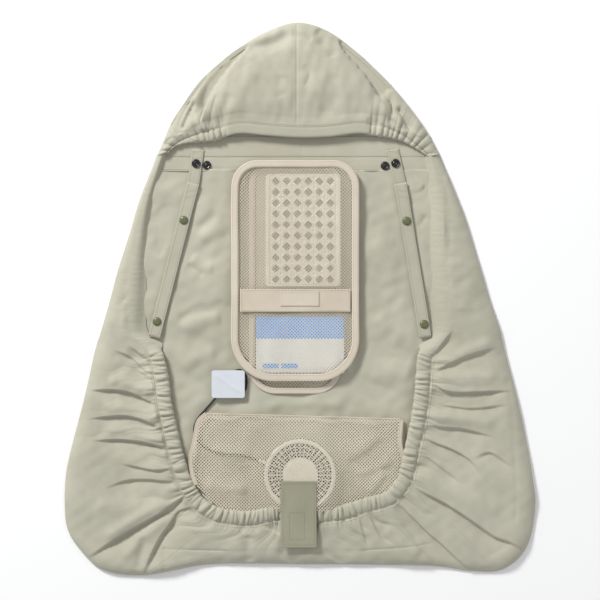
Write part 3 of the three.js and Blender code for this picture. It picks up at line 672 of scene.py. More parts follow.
def makeLead():
    points = np.array(lead["route"], float) + [*lead["fan"], lead["level"]]
    line = evenly(curveThrough(points * mm, 400), lead["steps"])
    a = np.linspace(0, 2 * math.pi, lead["sides"], endpoint=False)
    section = np.stack([np.cos(a), np.sin(a)], 1) * lead["diameter"] / 2 * mm
    cord = barPiece("leadCable", carried(line, section), leadRubber)
    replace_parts(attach(cord, "root"), "fan_lead")
    low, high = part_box("plug_body")
    tipLow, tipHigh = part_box("plug_tip")
    middle = (low + high) / 2
    start, tipStart = (high.x, middle.y, middle.z), (tipHigh.x, middle.y, middle.z)
    toTip = np.array((tipLow + tipHigh) / 2) - np.array(middle)
    plug = barPiece("barrelPlug", barrelRings(lead["plugRadius"], start, toTip), blackPlasticAndSlotShade)
    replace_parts(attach(plug, "root"), "plug_body")
    tip = barPiece("barrelPlugTip", barrelRings(lead["tipRadius"], tipStart, toTip), steel)
    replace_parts(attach(tip, "root"), "plug_tip")
    bootRings = barrelRings(lead["bootRadius"], line[0], line[0] - line[1])
    boot = barPiece("leadStrainRelief", bootRings, fanPlastic)
    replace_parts(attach(boot, "root"), "lead_strain_relief")
    print("lead laid:", round(float(lengthAlong(line)[-1]), 4), "m")


makeLead()


# front cloth: two wings and the bottom skirt, one gathered sheet folded in from the edge

front = {
    # inner (gathered) edge and outer (folded) edge, mm, from the left of the neck round to the right
    "knots": [(-194, 216, -204, 219), (-214, 149, -232, 149), (-222, 102, -246, 102), (-226, 40, -265, 42),
              (-226, 0, -276, 0), (-226, -44, -290, -48), (-203, -66, -298, -74), (-191, -111, -310, -128),
              (-186, -150, -321, -172), (-177, -190, -331, -210), (-168, -228, -340, -252),
              (-158, -258, -342, -296), (-149, -275, -338, -332), (-141, -286, -321, -361),
              (-124, -298, -286, -392), (-102, -304, -225, -400), (-69, -305, -140, -385),
              (-36, -298, -60, -383), (0, -303, 0, -384), (28, -301, 50, -384), (61, -297, 125, -385),
              (97, -286, 200, -387), (122, -279, 250, -394), (133, -269, 296, -391),
              (142, -257, 330, -358), (147, -236, 342, -300), (155, -200, 338, -258),
              (161, -172, 331, -215), (166, -139, 320, -162), (168, -111, 311, -125), (173, -72, 299, -80),
              (194, -46, 290, -42), (194, 0, 276, 0), (190, 60, 258, 60), (189, 116, 241, 116),
              (189, 160, 224, 160), (182, 211, 199, 218)],
    "samples": 1300,
    # slow changes of the puffs' width along the edge: size, length in mm, phase
    "wavers": [(1.5, 31, 0), (1.2, 17, 1.3), (0.7, 7.3, 0)],
    "casingColumns": 24, "levelColumns": 46, "edgeColumns": 16, "stitchColumns": (18, 20),
    # columns over which the looks of the top begin and end, and the width that carries the full section
    "topBegins": (2, 7), "topEnds": (74, 83), "fullWidth": 64,
    "leftEnds": 15, "rightStarts": 21,      # knots where the skirt takes over from the wings
    # section of the gathered casing, in from the edge and up, mm
    "casing": [(7, 6.2), (2.5, 6.6), (0.2, 8.6), (0.8, 11.4), (4, 13.6), (9, 14.4), (14, 13.8), (18, 12.2),
               (20, 10.8), (22, 11.4), (26, 12.4), (32, 12.6)],
    # above these heights, mm, the cloth isn't gathered: it only rolls softly over, in this section
    "rollFrom": -80, "rollFull": -62,
    "roll": [(-5, 1.4), (-1, 2.6), (3, 4.6), (7, 7.0), (11, 9.2), (15, 10.8), (19, 11.8), (22, 12.3),
             (24, 12.5), (26, 12.6), (29, 12.6), (32, 12.6)],
    # section of the outer fold, back from the edge and up, mm
    "edge": [(-26, 12.2), (-16, 11.2), (-8, 8.8), (-2.5, 5.8), (0, 3.4), (-2.2, 1.1), (-8, 0.7)],
    "ruffle": 10.2, "ruffleHeight": 5.4, "ruffleWaver": 2.0, "gather": 4.6, "gatherReach": 27.0,
    "waves": 1.3, "waveLength": 74.0, "crinkle": 0.22, "crinkleLength": 19.0,
    "leftBlend": ((-220, -327), (-303, -240)), "rightBlend": ((220, -327), (303, -240)),
}

# tucks: the cloth drops sharply on the left of the path and comes back up over reach
frontTucks = [
    # left wing, from the gathered edge outward
    (6.5, 13, [(-205, -90), (-222, -86), (-241, -72)]),
    (6, 12, [(-216, -106), (-228, -101), (-243, -86), (-262, -76)]),
    (5.5, 10, [(-210, -127), (-223, -111), (-236, -102)]),
    (9, 17, [(-206, -153), (-223, -146), (-243, -136), (-266, -131), (-300, -131)]),
    (9, 17, [(-200, -188), (-218, -178), (-238, -171), (-261, -168), (-300, -172)]),
    (8.5, 16, [(-191, -218), (-208, -211), (-231, -206), (-261, -203), (-296, -204)]),
    (6, 13, [(-184, -243), (-208, -247), (-236, -243), (-256, -238)]),
    (6, 13, [(-171, -256), (-188, -263), (-223, -261), (-253, -263), (-276, -271)]),
    (10, 14, [(-150, -268), (-166, -283), (-188, -301), (-223, -321), (-253, -338), (-276, -353),
              (-309, -376)]),
    (9, 12, [(-146, -290), (-158, -300), (-176, -308), (-188, -326), (-201, -343), (-213, -366),
             (-226, -397)]),
    (4, 8, [(-153, -268), (-163, -281), (-193, -301)]),
    (4, 7, [(-141, -286), (-156, -301)]),
    # skirt, from the gathered edge down
    (6, 9, [(-103, -300), (-96, -317), (-86, -334)]),
    (5, 9, [(-83, -313), (-68, -331)]),
    (5, 10, [(-66, -322), (-33, -338)]),
    (4, 9, [(85, -312), (90, -331), (96, -352)]),
    (5, 10, [(101, -312), (116, -341), (132, -354)]),
    (3.5, 8, [(-29, -370), (-10, -384)]),
    (3.5, 8, [(38, -368), (60, -384)]),
    (3, 8, [(150, -330), (166, -346)]),
    # right wing, from the folded edge in
    (6, 13, [(216, -50), (203, -68), (190, -82)]),
    (6.5, 14, [(280, -70), (243, -82), (217, -93), (192, -106)]),
    (9, 17, [(302, -132), (256, -134), (220, -134), (204, -129), (188, -118)]),
    (5, 12, [(300, -152), (250, -158), (200, -152)]),
    (7, 14, [(274, -197), (246, -190), (230, -187), (204, -185), (184, -181)]),
    (8.5, 15, [(262, -256), (246, -233), (220, -217), (199, -209), (178, -199)]),
    (5, 12, [(300, -238), (276, -222), (258, -228)]),
    (5, 12, [(228, -262), (200, -240), (174, -222)]),
    # the lower right corner: the wing's edge hangs over the band of the skirt
    (11, 15, [(330, -367), (305, -352), (282, -344), (256, -326), (230, -308), (204, -292), (178, -279),
              (155, -262)]),
    (-4, 10, [(278, -380), (240, -344), (204, -313), (186, -300), (166, -277)]),
    (8.5, 13, [(266, -395), (246, -391), (230, -378), (204, -354), (183, -336), (160, -313), (142, -295),
               (124, -279)]),
]


# a path drawn out straight by extra at both ends, so that a fold fades beyond its given ends
def drawnOut(path, extra):
    path = np.asarray(path, float)
    first, last = path[0] - path[1], path[-1] - path[-2]
    return np.vstack([path[0] + first / np.linalg.norm(first) * extra, path,
                      path[-1] + last / np.linalg.norm(last) * extra])


# the tucks' depth and reach are scaled; shallow ones get the wide wall, deep ones the steep wall
tuck = {"extra": 11, "depth": 0.86, "reach": 1.25, "wideWall": 4.4, "steepWall": 3.4, "steepFrom": 8.4,
        "tail": 0.34}

frontFolds = [
    stepFold(drawnOut(path, tuck["extra"]), -tuck["depth"] * drop,
             tuck["wideWall"] if drop < tuck["steepFrom"] else tuck["steepWall"],
             reach=tuck["reach"] * reach, tail=tuck["tail"]) for drop, reach, path in frontTucks] + [
    softFold([(-212, -140), (-240, -122), (-280, -116)], 3.2, 9),
    softFold([(-206, -172), (-240, -156), (-290, -154)], 3.2, 9),
    softFold([(-196, -204), (-240, -190), (-290, -190)], 3.0, 9),
    softFold([(-182, -286), (-240, -318), (-290, -350)], 3.4, 8),
    softFold([(-182, -308), (-222, -338), (-262, -380)], 3.0, 8),
    softFold([(-231, -341), (-228, -358), (-236, -393)], -2.6, 6),
    softFold([(-225, -296), (-262, -300), (-300, -296)], 2.4, 12),
    valleyFold([(-240, -90), (-262, -60), (-275, -30)], 1.8, 6),
    valleyFold([(-232, 20), (-252, 4), (-266, -14)], 1.6, 5),
    softFold([(-73, -338), (-76, -360), (-73, -383)], -3.2, 8),
    valleyFold([(-198, -358), (-198, -395)], 1.2, 1.6, tail=0.05),
    softFold([(120, -330), (150, -350), (176, -372)], 2.4, 10),
    valleyFold([(299, -108), (308, -168), (310, -225), (313, -277), (312, -328)], 1.4, 1.8, tail=0.06),
    valleyFold([(274, -372), (305, -352)], 1.4, 1.8, tail=0.1),
    softFold([(192, -96), (240, -76), (284, -60)], 3.0, 9),
    softFold([(188, -112), (230, -112), (292, -112)], 3.4, 10),
    softFold([(180, -170), (230, -170), (290, -178)], 3.0, 10),
    softFold([(172, -240), (220, -270), (300, -312)], 3.0, 16),
    valleyFold([(-205, -361), (-60, -364), (30, -366), (85, -363), (152, -358),
                (199, -352)], 1.2, 1.4, tail=0.04),
    valleyFold([(204, 188), (209, 150), (211, 104), (209, 50), (203, 4), (200, -40)], 3.0, 7),
    softFold([(258, 30), (240, 6), (236, -20)], 1.6, 12),
    valleyFold([(-212, 150), (-224, 128), (-234, 96)], 2.2, 5),
    valleyFold([(-236, 60), (-244, 20), (-240, -30)], 2.4, 7),
]


# gathers: |sin| of the running phase, so sharp valleys between round puffs; each puff has its own
# seeded height
def puffs(phase, seed, sharp):
    heights = np.random.default_rng(seed).uniform(0.55, 1.15, 400)
    which = np.floor(phase).astype(int) % len(heights)
    return heights[which] * np.abs(np.sin(math.pi * phase)) ** sharp


# texture coordinates of a gathered sheet: along the run of its two edges, and in from the inner one
def gatheredUv(inner, outer, reach):
    run = 0.6 * lengthAlong(inner) + 0.4 * lengthAlong(outer)
    return np.stack([np.broadcast_to(run[:, None], reach.shape), reach], -1) * mm


def frontGrid():
    knots = np.array(front["knots"], float)
    fine = curveThrough(knots, 40 * len(knots))
    spacing = 0.62 * lengthAlong(fine[:, :2]) + 0.38 * lengthAlong(fine[:, 2:])
    at = np.linspace(0, spacing[-1], front["samples"])
    rows = np.stack([np.interp(at, spacing, fine[:, k]) for k in range(4)], 1)
    knotAt = np.interp(np.linspace(0, 1, len(knots)), np.linspace(0, 1, len(fine)), spacing)
    cuts = [int(np.searchsorted(at, knotAt[front[key]])) for key in ("leftEnds", "rightStarts")]
    inner, outer = rows[:, :2], rows[:, 2:]
    width = np.linalg.norm(outer - inner, axis=1)
    across = (outer - inner) / width[:, None]
    run = lengthAlong(inner)
    # near the gathered edge the cloth runs square to it, further out it runs to the folded edge
    ahead = np.gradient(inner, axis=0)
    ahead /= np.linalg.norm(ahead, axis=1)[:, None]
    square = np.stack([ahead[:, 1], -ahead[:, 0]], 1)
    square *= np.sign((square * across).sum(1))[:, None]
    # section: casing part, level part, folded edge part, squeezed where the cloth is narrow
    casing, roll = (curveThrough(front[key], front["casingColumns"]) for key in ("casing", "roll"))
    soft = smoothstep(inner[:, 1], front["rollFrom"], front["rollFull"])[:, None]
    section = casing * (1 - soft[..., None]) + roll * soft[..., None]
    edge = curveThrough(front["edge"], front["edgeColumns"])
    level = np.linspace(0, 1, front["levelColumns"] + 2)[1:-1]
    squeeze = np.minimum(1, width / front["fullWidth"])[:, None]
    start, stop = casing[-1, 0] * squeeze, width[:, None] + edge[0, 0] * squeeze
    reach = np.hstack([section[..., 0] * squeeze, start + (stop - start) * level,
                       width[:, None] + edge[None, :, 0] * squeeze])
    slope = casing[-1, 1] + (edge[0, 1] - casing[-1, 1]) * level
    high = np.hstack([section[..., 1], np.broadcast_to(slope, (len(rows), len(slope))),
                      np.broadcast_to(edge[:, 1], (len(rows), len(edge)))])
    # full height in the wide parts, lower where the cloth narrows to the neck
    high = high * (0.55 + 0.45 * squeeze)
    columns = np.arange(reach.shape[1])[None, :]
    top = smoothstep(columns, *front["topBegins"]) * (1 - smoothstep(columns, *front["topEnds"]))
    waver = sum(size * np.sin(run / length + turn) for size, length, turn in front["wavers"])
    bend = 0.35 * wander(run[:, None] + 0 * reach, reach * 1.6, 23, 70) * smoothstep(reach, 4, 60)
    slant = 0.3 * np.sin(run / 9.0)[:, None] * (1 - smoothstep(reach, 0, 20))
    phase = (run / front["ruffle"] + 0.2 * waver)[:, None] + bend + slant
    inCasing = (1 - smoothstep(reach, 17, 21)) * smoothstep(reach, 0, 5) * (1 - soft)
    beyond = np.maximum(reach - 20, 0)
    crossing = phase * 1.37 + 0.5 * reach / 20 + 0.3
    small = 0.64 * puffs(phase, 3, 0.55) + 0.4 * puffs(crossing, 6, 0.6) - 0.6
    mid = puffs(phase / 2 + 0.2, 4, 0.8) - 0.6
    large = puffs(phase / 4.3 + 0.5, 5, 0.9) - 0.55
    lift = front["ruffleHeight"] * small * (inCasing * 0.9 + 0.1 * (reach < 20))
    straight = np.clip((square * across).sum(1), 0, 1)[:, None] ** 3
    fade = smoothstep(reach, 19.5, 25) * (1 - 0.85 * soft) * straight
    away = beyond / front["gatherReach"]
    lift = lift + fade * front["gather"] * 0.9 * (small * np.exp(-away * 2.2) + mid * np.exp(-away)
                                                  + large * np.exp(-away / 2.2))
    turnedBy = (reach * (1 - smoothstep(reach, 24, 64)) * (1 - soft))[..., None]
    flat = (inner[:, None, :] + across[:, None, :] * reach[..., None]
            + (square - across)[:, None, :] * turnedBy)
    # the gathered edge wanders in and out with the puffs
    sway = -front["ruffleWaver"] * (small + 0.3) * (1 - smoothstep(reach, 3, 16)) * (1 - soft)
    flat = flat + across[:, None, :] * sway[..., None]
    x, y = flat[..., 0], flat[..., 1]
    folds = foldHeight(x * mm, y * mm, frontFolds) / mm
    cloud = (front["waves"] * wander(x, y, 21, front["waveLength"])
             + front["crinkle"] * wander(x, y, 22, front["crinkleLength"]))
    narrow = 0.35 + 0.65 * squeeze
    z = high + top * narrow * (lift + (folds + cloud) * smoothstep(reach, 18, 30))
    z = np.maximum(z, 0.6)
    points = np.stack([x, y, z], -1) * mm
    uv = gatheredUv(inner, outer, reach)
    sewn = soft[:, 0] < 0.3
    return points, uv, cuts, sewn


def makeFront():
    points, uv, (leftCut, rightCut), gathered = frontGrid()
    parts = [("leftWingCloth", slice(0, leftCut + 1), "left", "left_wing"),
             ("bottomSkirtCloth", slice(leftCut, rightCut + 1), "bottom", "bottom_skirt"),
             ("rightWingCloth", slice(rightCut, None), "right", "right_wing")]
    for name, span, side, node in parts:
        grid = points[span]
        cloth = clothPiece(name, grid, uv[span], shellCloth)
        rows = [grid[gathered[span], column] for column in front["stitchColumns"]]
        sewn = stitches(name + "Stitches", rows, thread)
        for piece in (cloth, sewn):
            if side == "bottom":
                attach(piece, "root")
            else:
                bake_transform(piece)
        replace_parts(cloth, node, side + "_casing", side + "_elastic")


makeFront()


# back panel and yoke

back = {
    "top": 192.0,
    "across": 220, "up": 190,
    "base": 1.3,
    "waves": 1.7, "waveLength": 70.0, "ripple": 0.5, "rippleLength": 26.0,
    "pouchRoom": 2.0, "strapRoom": 2.1, "leadRoom": 2.0, "pocketRoom": 6.6, "fanRoom": 1.9,
}

backFolds = [
    softFold([(-154, 97), (-136, 113), (-115, 127)], -2.6, 8, tail=0.3),
    softFold([(-150, 84), (-130, 98), (-108, 110)], 3.6, 9, tail=0.3),
    valleyFold([(-165, 53), (-152, 44), (-139, 35)], 3.2, 4),
    softFold([(-160, 62), (-140, 48), (-124, 46)], 3.2, 9),
    softFold([(-180, -34), (-158, -19), (-128, -13), (-107, 0)], -3.0, 7),
    softFold([(-176, -46), (-150, -34), (-112, -20)], 4.2, 10),
    softFold([(-130, 60), (-118, 20), (-124, -20)], 3.0, 16),
    valleyFold([(-190, 109), (-197, 90), (-205, 60)], 3.0, 5),
    softFold([(-182, 20), (-196, -10), (-204, -50)], 3.0, 9),
    valleyFold([(-185, 132), (-196, 122), (-208, 127)], 2.5, 5),
    stepFold([(154, 158), (173, 159), (183, 170)], 3.2, 3, reach=18),
    valleyFold([(155, 154), (160, 145), (165, 136)], 2.6, 4),
    valleyFold([(184, 124), (178, 114), (170, 105)], 3.2, 4),
    softFold([(178, 96), (176, 60), (180, 10)], 2.6, 7),
    softFold([(104, 90), (124, 60), (138, 20)], 3.2, 16),
    softFold([(110, -20), (140, -44), (176, -62)], 3.6, 13),
    softFold([(104, -64), (130, -78), (164, -84)], -2.4, 8),
    softFold([(100, -120), (128, -104), (164, -110)], 3.4, 13),
    softFold([(-176, -100), (-150, -84), (-120, -74)], 3.4, 12),
    softFold([(-60, -156), (0, -150), (70, -154)], 2.6, 8),
]


# distance outside a box in plan, zero inside it
def outside(x, y, low, high):
    return np.hypot(np.maximum(np.maximum(low[0] - x, x - high[0]), 0),
                    np.maximum(np.maximum(low[1] - y, y - high[1]), 0))


# how high the cloth may rise, mm, at each point: low under what lies on it, more the further from it
def roomAbove(x, y):
    room = np.full(np.shape(x), 9.0)
    room = np.minimum(room, back["pouchRoom"] + 0.24 * outside(x, y, *boxOf("pouch_front_binding")))
    for side in ("left", "right"):
        for node in (side + "_short_strap", side + "_long_strap"):
            low, high = boxOf(node)
            topX, endX = (low[0] + 9, high[0] - 9) if side == "right" else (high[0] - 9, low[0] + 9)
            away, _, _ = nearPath(x, y, [(topX, high[1]), (endX, low[1])])
            room = np.minimum(room, back["strapRoom"] + 0.3 * np.maximum(away - 11, 0))
    low, high = boxOf("fan_back_housing")
    away = np.hypot(x - (low[0] + high[0]) / 2, y - (low[1] + high[1]) / 2) - (high[0] - low[0]) / 2
    room = np.minimum(room, back["fanRoom"] + 0.12 * np.maximum(away - 2, 0))
    route = np.array(lead["route"], float)[:, :2] + lead["fan"]
    away, _, _ = nearPath(x, y, route)
    room = np.minimum(room, back["leadRoom"] + 0.4 * np.maximum(away - 3, 0))
    underNet = outside(x, y, *boxOf("fan_pocket_net")) < 4
    room = np.where(underNet, np.minimum(room, back["pocketRoom"]), room)
    for node in ("cable_tag", "plug_body"):
        low, high = boxOf(node)
        room = np.minimum(room, back["leadRoom"] + 0.3 * outside(x, y, low, high))
    return room


def backHeight(x, y):
    rise = (back["base"] + back["waves"] * (wander(x, y, 31, back["waveLength"]) + 0.5)
            + back["ripple"] * wander(x, y, 32, back["rippleLength"])
            + foldHeight(x * mm, y * mm, backFolds) / mm)
    room = roomAbove(x, y)
    rise = np.maximum(rise, 0.7 + 0.1 * rise)
    return np.where(rise > 0, room * np.tanh(rise / room), rise)


# Coons patch: the two ruled surfaces between opposite edges, less the patch of the four corners
def coons(bottom, top, left, right):
    u = np.linspace(0, 1, len(bottom))[:, None, None]
    v = np.linspace(0, 1, len(left))[None, :, None]
    ruled = (1 - v) * bottom[:, None] + v * top[:, None] + (1 - u) * left[None] + u * right[None]
    corners = ((1 - u) * (1 - v) * bottom[0] + u * (1 - v) * bottom[-1]
               + (1 - u) * v * top[0] + u * v * top[-1])
    return ruled - corners


def makeBack():
    knots = np.array(front["knots"], float)
    toCentre = knots[:, 2:] - np.sign(knots[:, 2:] - [0, -80]) * [5, 5]
    lower, upper = front["leftEnds"] - 2, front["rightStarts"] + 3
    left = evenly(curveThrough(toCentre[lower::-1], 300), back["up"])
    bottom = evenly(curveThrough(toCentre[lower:upper + 1], 300), back["across"])
    right = evenly(curveThrough(toCentre[upper:], 300), back["up"])
    keep = left[:, 1] <= back["top"]
    left = evenly(left[keep], back["up"])
    right = evenly(right[right[:, 1] <= back["top"]], back["up"])
    top = np.linspace(left[-1], right[-1], back["across"])
    plan = coons(bottom, top, left, right)
    x, y = plan[..., 0], plan[..., 1]
    z = backHeight(x, y)
    grid = np.stack([x, y, z], -1) * mm
    panel = clothPiece("backPanelCloth", grid, plan * mm, backCloth)
    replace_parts(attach(panel, "root"), "back_panel")
    print("backPanelCloth area", gridArea(plan * mm))


yoke = {
    "left": [(-217, 187), (-209, 208), (-197, 232), (-195, 238)],
    "right": [(213, 187), (204, 208), (192, 232), (190, 238)],
    "across": 220, "up": 40,
    "level": 1.75, "waves": 0.25, "waveLength": 40, "lowest": 1.0, "highest": 2.2,
    "stitchRows": (190.2, 209.0), "stitchEnds": (-205, 203), "stitchLevel": 2.05,
    "seams": [valleyFold([(-214, 192.2), (0, 191.6), (212, 192.2)], 0.5, 1.0, tail=0.01),
              valleyFold([(-205, 207), (0, 208), (200, 207)], 0.45, 1.2, tail=0.01),
              valleyFold([(2, 188), (2, 240)], 0.5, 0.9, tail=0.01)],
}


# the yoke, lapped over the panel's top edge
def makeYoke():
    left, right = (curveThrough(yoke[side], yoke["up"])[None] for side in ("left", "right"))
    share = np.linspace(0, 1, yoke["across"])[:, None, None]
    plan = (1 - share) * left + share * right
    x, y = plan[..., 0], plan[..., 1]
    z = (yoke["level"] + yoke["waves"] * wander(x, y, 41, yoke["waveLength"])
         + foldHeight(x * mm, y * mm, yoke["seams"]) / mm)
    z = np.clip(z, yoke["lowest"], yoke["highest"])
    piece = clothPiece("yokeCloth", np.stack([x, y, z], -1) * mm, plan * mm, backCloth)
    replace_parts(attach(piece, "root"), "neck_band")
    start, end = yoke["stitchEnds"]
    rows = [np.linspace((start, level, yoke["stitchLevel"]), (end, level, yoke["stitchLevel"]), 400) * mm
            for level in yoke["stitchRows"]]
    sewn = stitches("yokeStitches", rows, thread, lift=0.05 * mm)
    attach(sewn, "root")
    print("yoke made")


makeBack()
makeYoke()


# hood

hood = {
    # hem edge and outline, mm, from the left end over the crown to the right end
    "knots": [(-193, 212, -209, 208), (-182, 222, -200, 227), (-166, 227, -188, 255),
              (-146, 229, -169, 285), (-125, 231, -147, 316), (-106, 237, -122, 340), (-84, 241, -92, 364),
              (-50, 238, -52, 388), (-5, 235, -5, 403), (40, 236, 40, 391), (82, 241, 84, 359),
              (104, 239, 112, 333), (125, 236, 139, 305), (146, 231, 164, 274), (166, 221, 186, 242),
              (186, 208, 203, 211)],
    "samples": 400,
    "hemColumns": 28, "levelColumns": 55, "edgeColumns": 22, "stitchColumns": (20, 22),
    "topBegins": (2, 9), "topEnds": (93, 102), "fullWidth": 80,
    "hem": [(8, 5.2), (2.5, 5.4), (0, 7.2), (0.4, 9.8), (3.5, 12.0), (8, 12.6), (12, 12.0), (14.5, 10.9),
            (17, 11.8), (22, 13.6), (30, 15.2)],
    "flatHem": [(8, 8.6), (2.5, 9.0), (0.2, 10.2), (0.5, 12.4), (2.8, 13.6), (8, 14.2), (12, 14.6),
                (14.5, 14.5), (17, 14.8), (22, 15.1), (30, 15.2)],
    "edge": [(-34, 15.2), (-24, 13.6), (-14, 11.2), (-6, 8.0), (-1.6, 5.4), (0, 3.4), (-2.2, 1.3), (-8, 2.3)],
    "dome": 4.0,
    "pitch": 8.6, "puff": 3.6, "gather": 3.6, "gatherReach": 26.0,
    "flatFrom": -101.0, "flatTo": 94.0,
    "waves": 0.9, "waveLength": 58.0, "crinkle": 0.3, "crinkleLength": 18.0,
    "blend": ((0, 210), (0, 237)),
}

hoodFolds = [
    stepFold([(-144, 252), (-139, 276), (-130, 298), (-117, 318), (-103, 336), (-87, 354),
              (-72, 371)], -13, 2.4, reach=11, tail=0.14),
    stepFold([(-178, 246), (-166, 274), (-150, 302), (-134, 326)], -5, 3, reach=9, tail=0.2),
    stepFold([(53, 378), (68, 357), (82, 341), (96, 324), (107, 307),
              (120, 289)], -12, 2.4, reach=8, tail=0.16),
    stepFold([(100, 322), (114, 304), (130, 288), (133, 262)], -7, 2.4, reach=8, tail=0.2),
    softFold([(-98, 346), (-122, 318), (-140, 292), (-152, 262)], -3.6, 7, tail=0.2),
    valleyFold([(-152, 290), (-162, 268), (-172, 244)], 8, 4),
    valleyFold([(-120, 300), (-128, 270), (-131, 246)], 2.6, 5),
    softFold([(-98, 300), (-112, 270), (-114, 246)], -2.4, 8),
    stepFold([(57, 378), (72, 357), (86, 340), (100, 323), (111, 306),
              (120, 292)], -4, 6, reach=70, tail=0.1),
    valleyFold([(58, 375), (73, 356), (87, 339), (101, 322), (112, 305), (119, 292)], 10, 3.6, tail=0.14),
    valleyFold([(111, 306), (128, 287), (131, 264), (126, 246)], 5.5, 5, tail=0.12),
    valleyFold([(141, 282), (155, 254), (166, 233)], 10, 4),
    softFold([(152, 288), (166, 268), (176, 246)], 2.2, 7),
    valleyFold([(96, 262), (104, 252), (107, 240)], 3.0, 4),
    softFold([(-11, 393), (-17, 384), (-39, 370), (-67, 365), (-80, 352)], -4.6, 8, tail=0.2),
    softFold([(-20, 396), (-44, 384), (-72, 372)], 3.0, 7, tail=0.25),
    softFold([(22, 393), (32, 380), (28, 363)], -4.2, 8, tail=0.25),
    valleyFold([(-14, 384), (2, 382), (19, 376)], 2.4, 3),
    softFold([(50, 382), (44, 366), (50, 350)], -2.2, 9),
    valleyFold([(4, 340), (14, 326), (6, 306)], 1.5, 4),
    softFold([(-24, 326), (-30, 306), (-26, 290)], -1.6, 7),
    softFold([(-60, 340), (-86, 300), (-96, 262)], 2.2, 13),
    softFold([(52, 330), (44, 300), (40, 262)], -2.0, 11),
    valleyFold([(-5, 234), (-5, 402)], 1.3, 1.3, tail=0.02),
    valleyFold([(-9.2, 234), (-9.2, 398)], 0.35, 1.4, tail=0.02),
]


def hoodGrid():
    rows = curveThrough(hood["knots"], 4000)
    spacing = 0.6 * lengthAlong(rows[:, :2]) + 0.4 * lengthAlong(rows[:, 2:])
    at = np.linspace(0, spacing[-1], hood["samples"])
    rows = np.stack([np.interp(at, spacing, rows[:, k]) for k in range(4)], 1)
    inner, outer = rows[:, :2], rows[:, 2:]
    width = np.linalg.norm(outer - inner, axis=1)
    across = (outer - inner) / width[:, None]
    run = lengthAlong(inner)
    gathered = (smoothstep(-inner[:, 0], -hood["flatFrom"], -hood["flatFrom"] + 9)
                + smoothstep(inner[:, 0], hood["flatTo"], hood["flatTo"] + 9))[:, None]
    hem, flatHem = (curveThrough(hood[key], hood["hemColumns"]) for key in ("hem", "flatHem"))
    edge = curveThrough(hood["edge"], hood["edgeColumns"])
    section = hem * gathered[..., None] + flatHem * (1 - gathered[..., None])
    level = np.linspace(0, 1, hood["levelColumns"] + 2)[1:-1]
    squeeze = np.minimum(1, width / hood["fullWidth"])[:, None]
    start, stop = hem[-1, 0] * squeeze, width[:, None] + edge[0, 0] * squeeze
    reach = np.hstack([section[..., 0] * squeeze, start + (stop - start) * level,
                       width[:, None] + edge[None, :, 0] * squeeze])
    dome = hood["dome"] * np.sin(math.pi * level)[None, :] ** 0.8 * np.minimum(1, width / 140)[:, None]
    high = np.hstack([section[..., 1], hem[-1, 1] + dome,
                      np.broadcast_to(edge[:, 1], (len(rows), len(edge)))]) * (0.5 + 0.5 * squeeze)
    columns = np.arange(reach.shape[1])[None, :]
    top = smoothstep(columns, *hood["topBegins"]) * (1 - smoothstep(columns, *hood["topEnds"]))
    phase = (run / hood["pitch"] + 0.2 * np.sin(run / 13) + 0.14 * np.sin(run / 5.3))[:, None] + 0 * reach
    small, mid = puffs(phase, 13, 0.6) - 0.6, puffs(phase / 2.3 + 0.3, 14, 0.8) - 0.6
    large = puffs(phase / 5.1 + 0.1, 15, 1.1) - 0.55
    inHem = (1 - smoothstep(reach, 13, 17)) * smoothstep(reach, 0, 4)
    beyond = np.maximum(reach - 14, 0)
    lift = hood["puff"] * small * inHem + smoothstep(reach, 14, 19) * hood["gather"] * (
        small * np.exp(-beyond / 14) + mid * np.exp(-beyond / hood["gatherReach"])
        + 1.2 * large * np.exp(-beyond / (2 * hood["gatherReach"])))
    sway = -1.3 * (small + 0.3) * (1 - smoothstep(reach, 2, 12)) * gathered
    flat = inner[:, None, :] + across[:, None, :] * (reach + sway)[..., None]
    x, y = flat[..., 0], flat[..., 1]
    folds = foldHeight(x * mm, y * mm, hoodFolds) / mm
    cloud = (hood["waves"] * wander(x, y, 51, hood["waveLength"])
             + hood["crinkle"] * wander(x, y, 52, hood["crinkleLength"]))
    z = high + top * (lift * gathered + (folds + cloud) * smoothstep(reach, 14, 26) * (0.3 + 0.7 * squeeze))
    z = np.clip(z, 2.4, 30)
    uv = gatheredUv(inner, outer, reach)
    return np.stack([x, y, z], -1) * mm, uv


def makeHood():
    grid, uv = hoodGrid()
    upper = clothPiece("hoodCloth", grid, uv, shellCloth)
    hemRows = [grid[:, column] for column in hood["stitchColumns"]]
    centre = grid[np.abs(grid[:, 40, 0] + 0.005).argmin(), 24:90]
    seamRows = [centre + [4.2 * mm, 0, 0.1 * mm], centre + [-4.2 * mm, 0, 0.1 * mm]]
    sewn = stitches("hoodStitches", hemRows + seamRows, thread)
    for piece in (upper, sewn):
        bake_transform(piece)
    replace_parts(upper, "hood_left_panel", "hood_right_panel", "hood_seam_tape", "hood_hem",
                "hood_left_gather", "hood_right_gather")
    return grid


hoodBack = {"ends": (-193, 189), "foot": 238.0, "up": 60, "level": 1.3, "waves": 0.3, "waveLength": 60,
            "crownDrop": 4}


# the hood's outer layer, flat on the ground
def makeHoodBack(grid):
    count = len(grid)
    left, right = hoodBack["ends"]
    bottom = np.linspace((left, hoodBack["foot"]), (right, hoodBack["foot"]), count)
    share = np.linspace(0, 1, hoodBack["up"])[None, :, None]
    crown = curveThrough([(k[2], max(k[3], hoodBack["foot"])) for k in hood["knots"][2:-2]], 1200)
    crown = evenly(crown, count) - [0, hoodBack["crownDrop"]]
    flat = (1 - share) * bottom[:, None] + share * crown[:, None]
    z = hoodBack["level"] + hoodBack["waves"] * wander(flat[..., 0], flat[..., 1], 61, hoodBack["waveLength"])
    under = clothPiece("hoodBackCloth", np.concatenate([flat, z[..., None]], 2) * mm, flat * mm, backCloth)
    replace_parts(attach(under, "hood"), "hood_back")
    print("hood back made, area", gridArea(flat * mm))


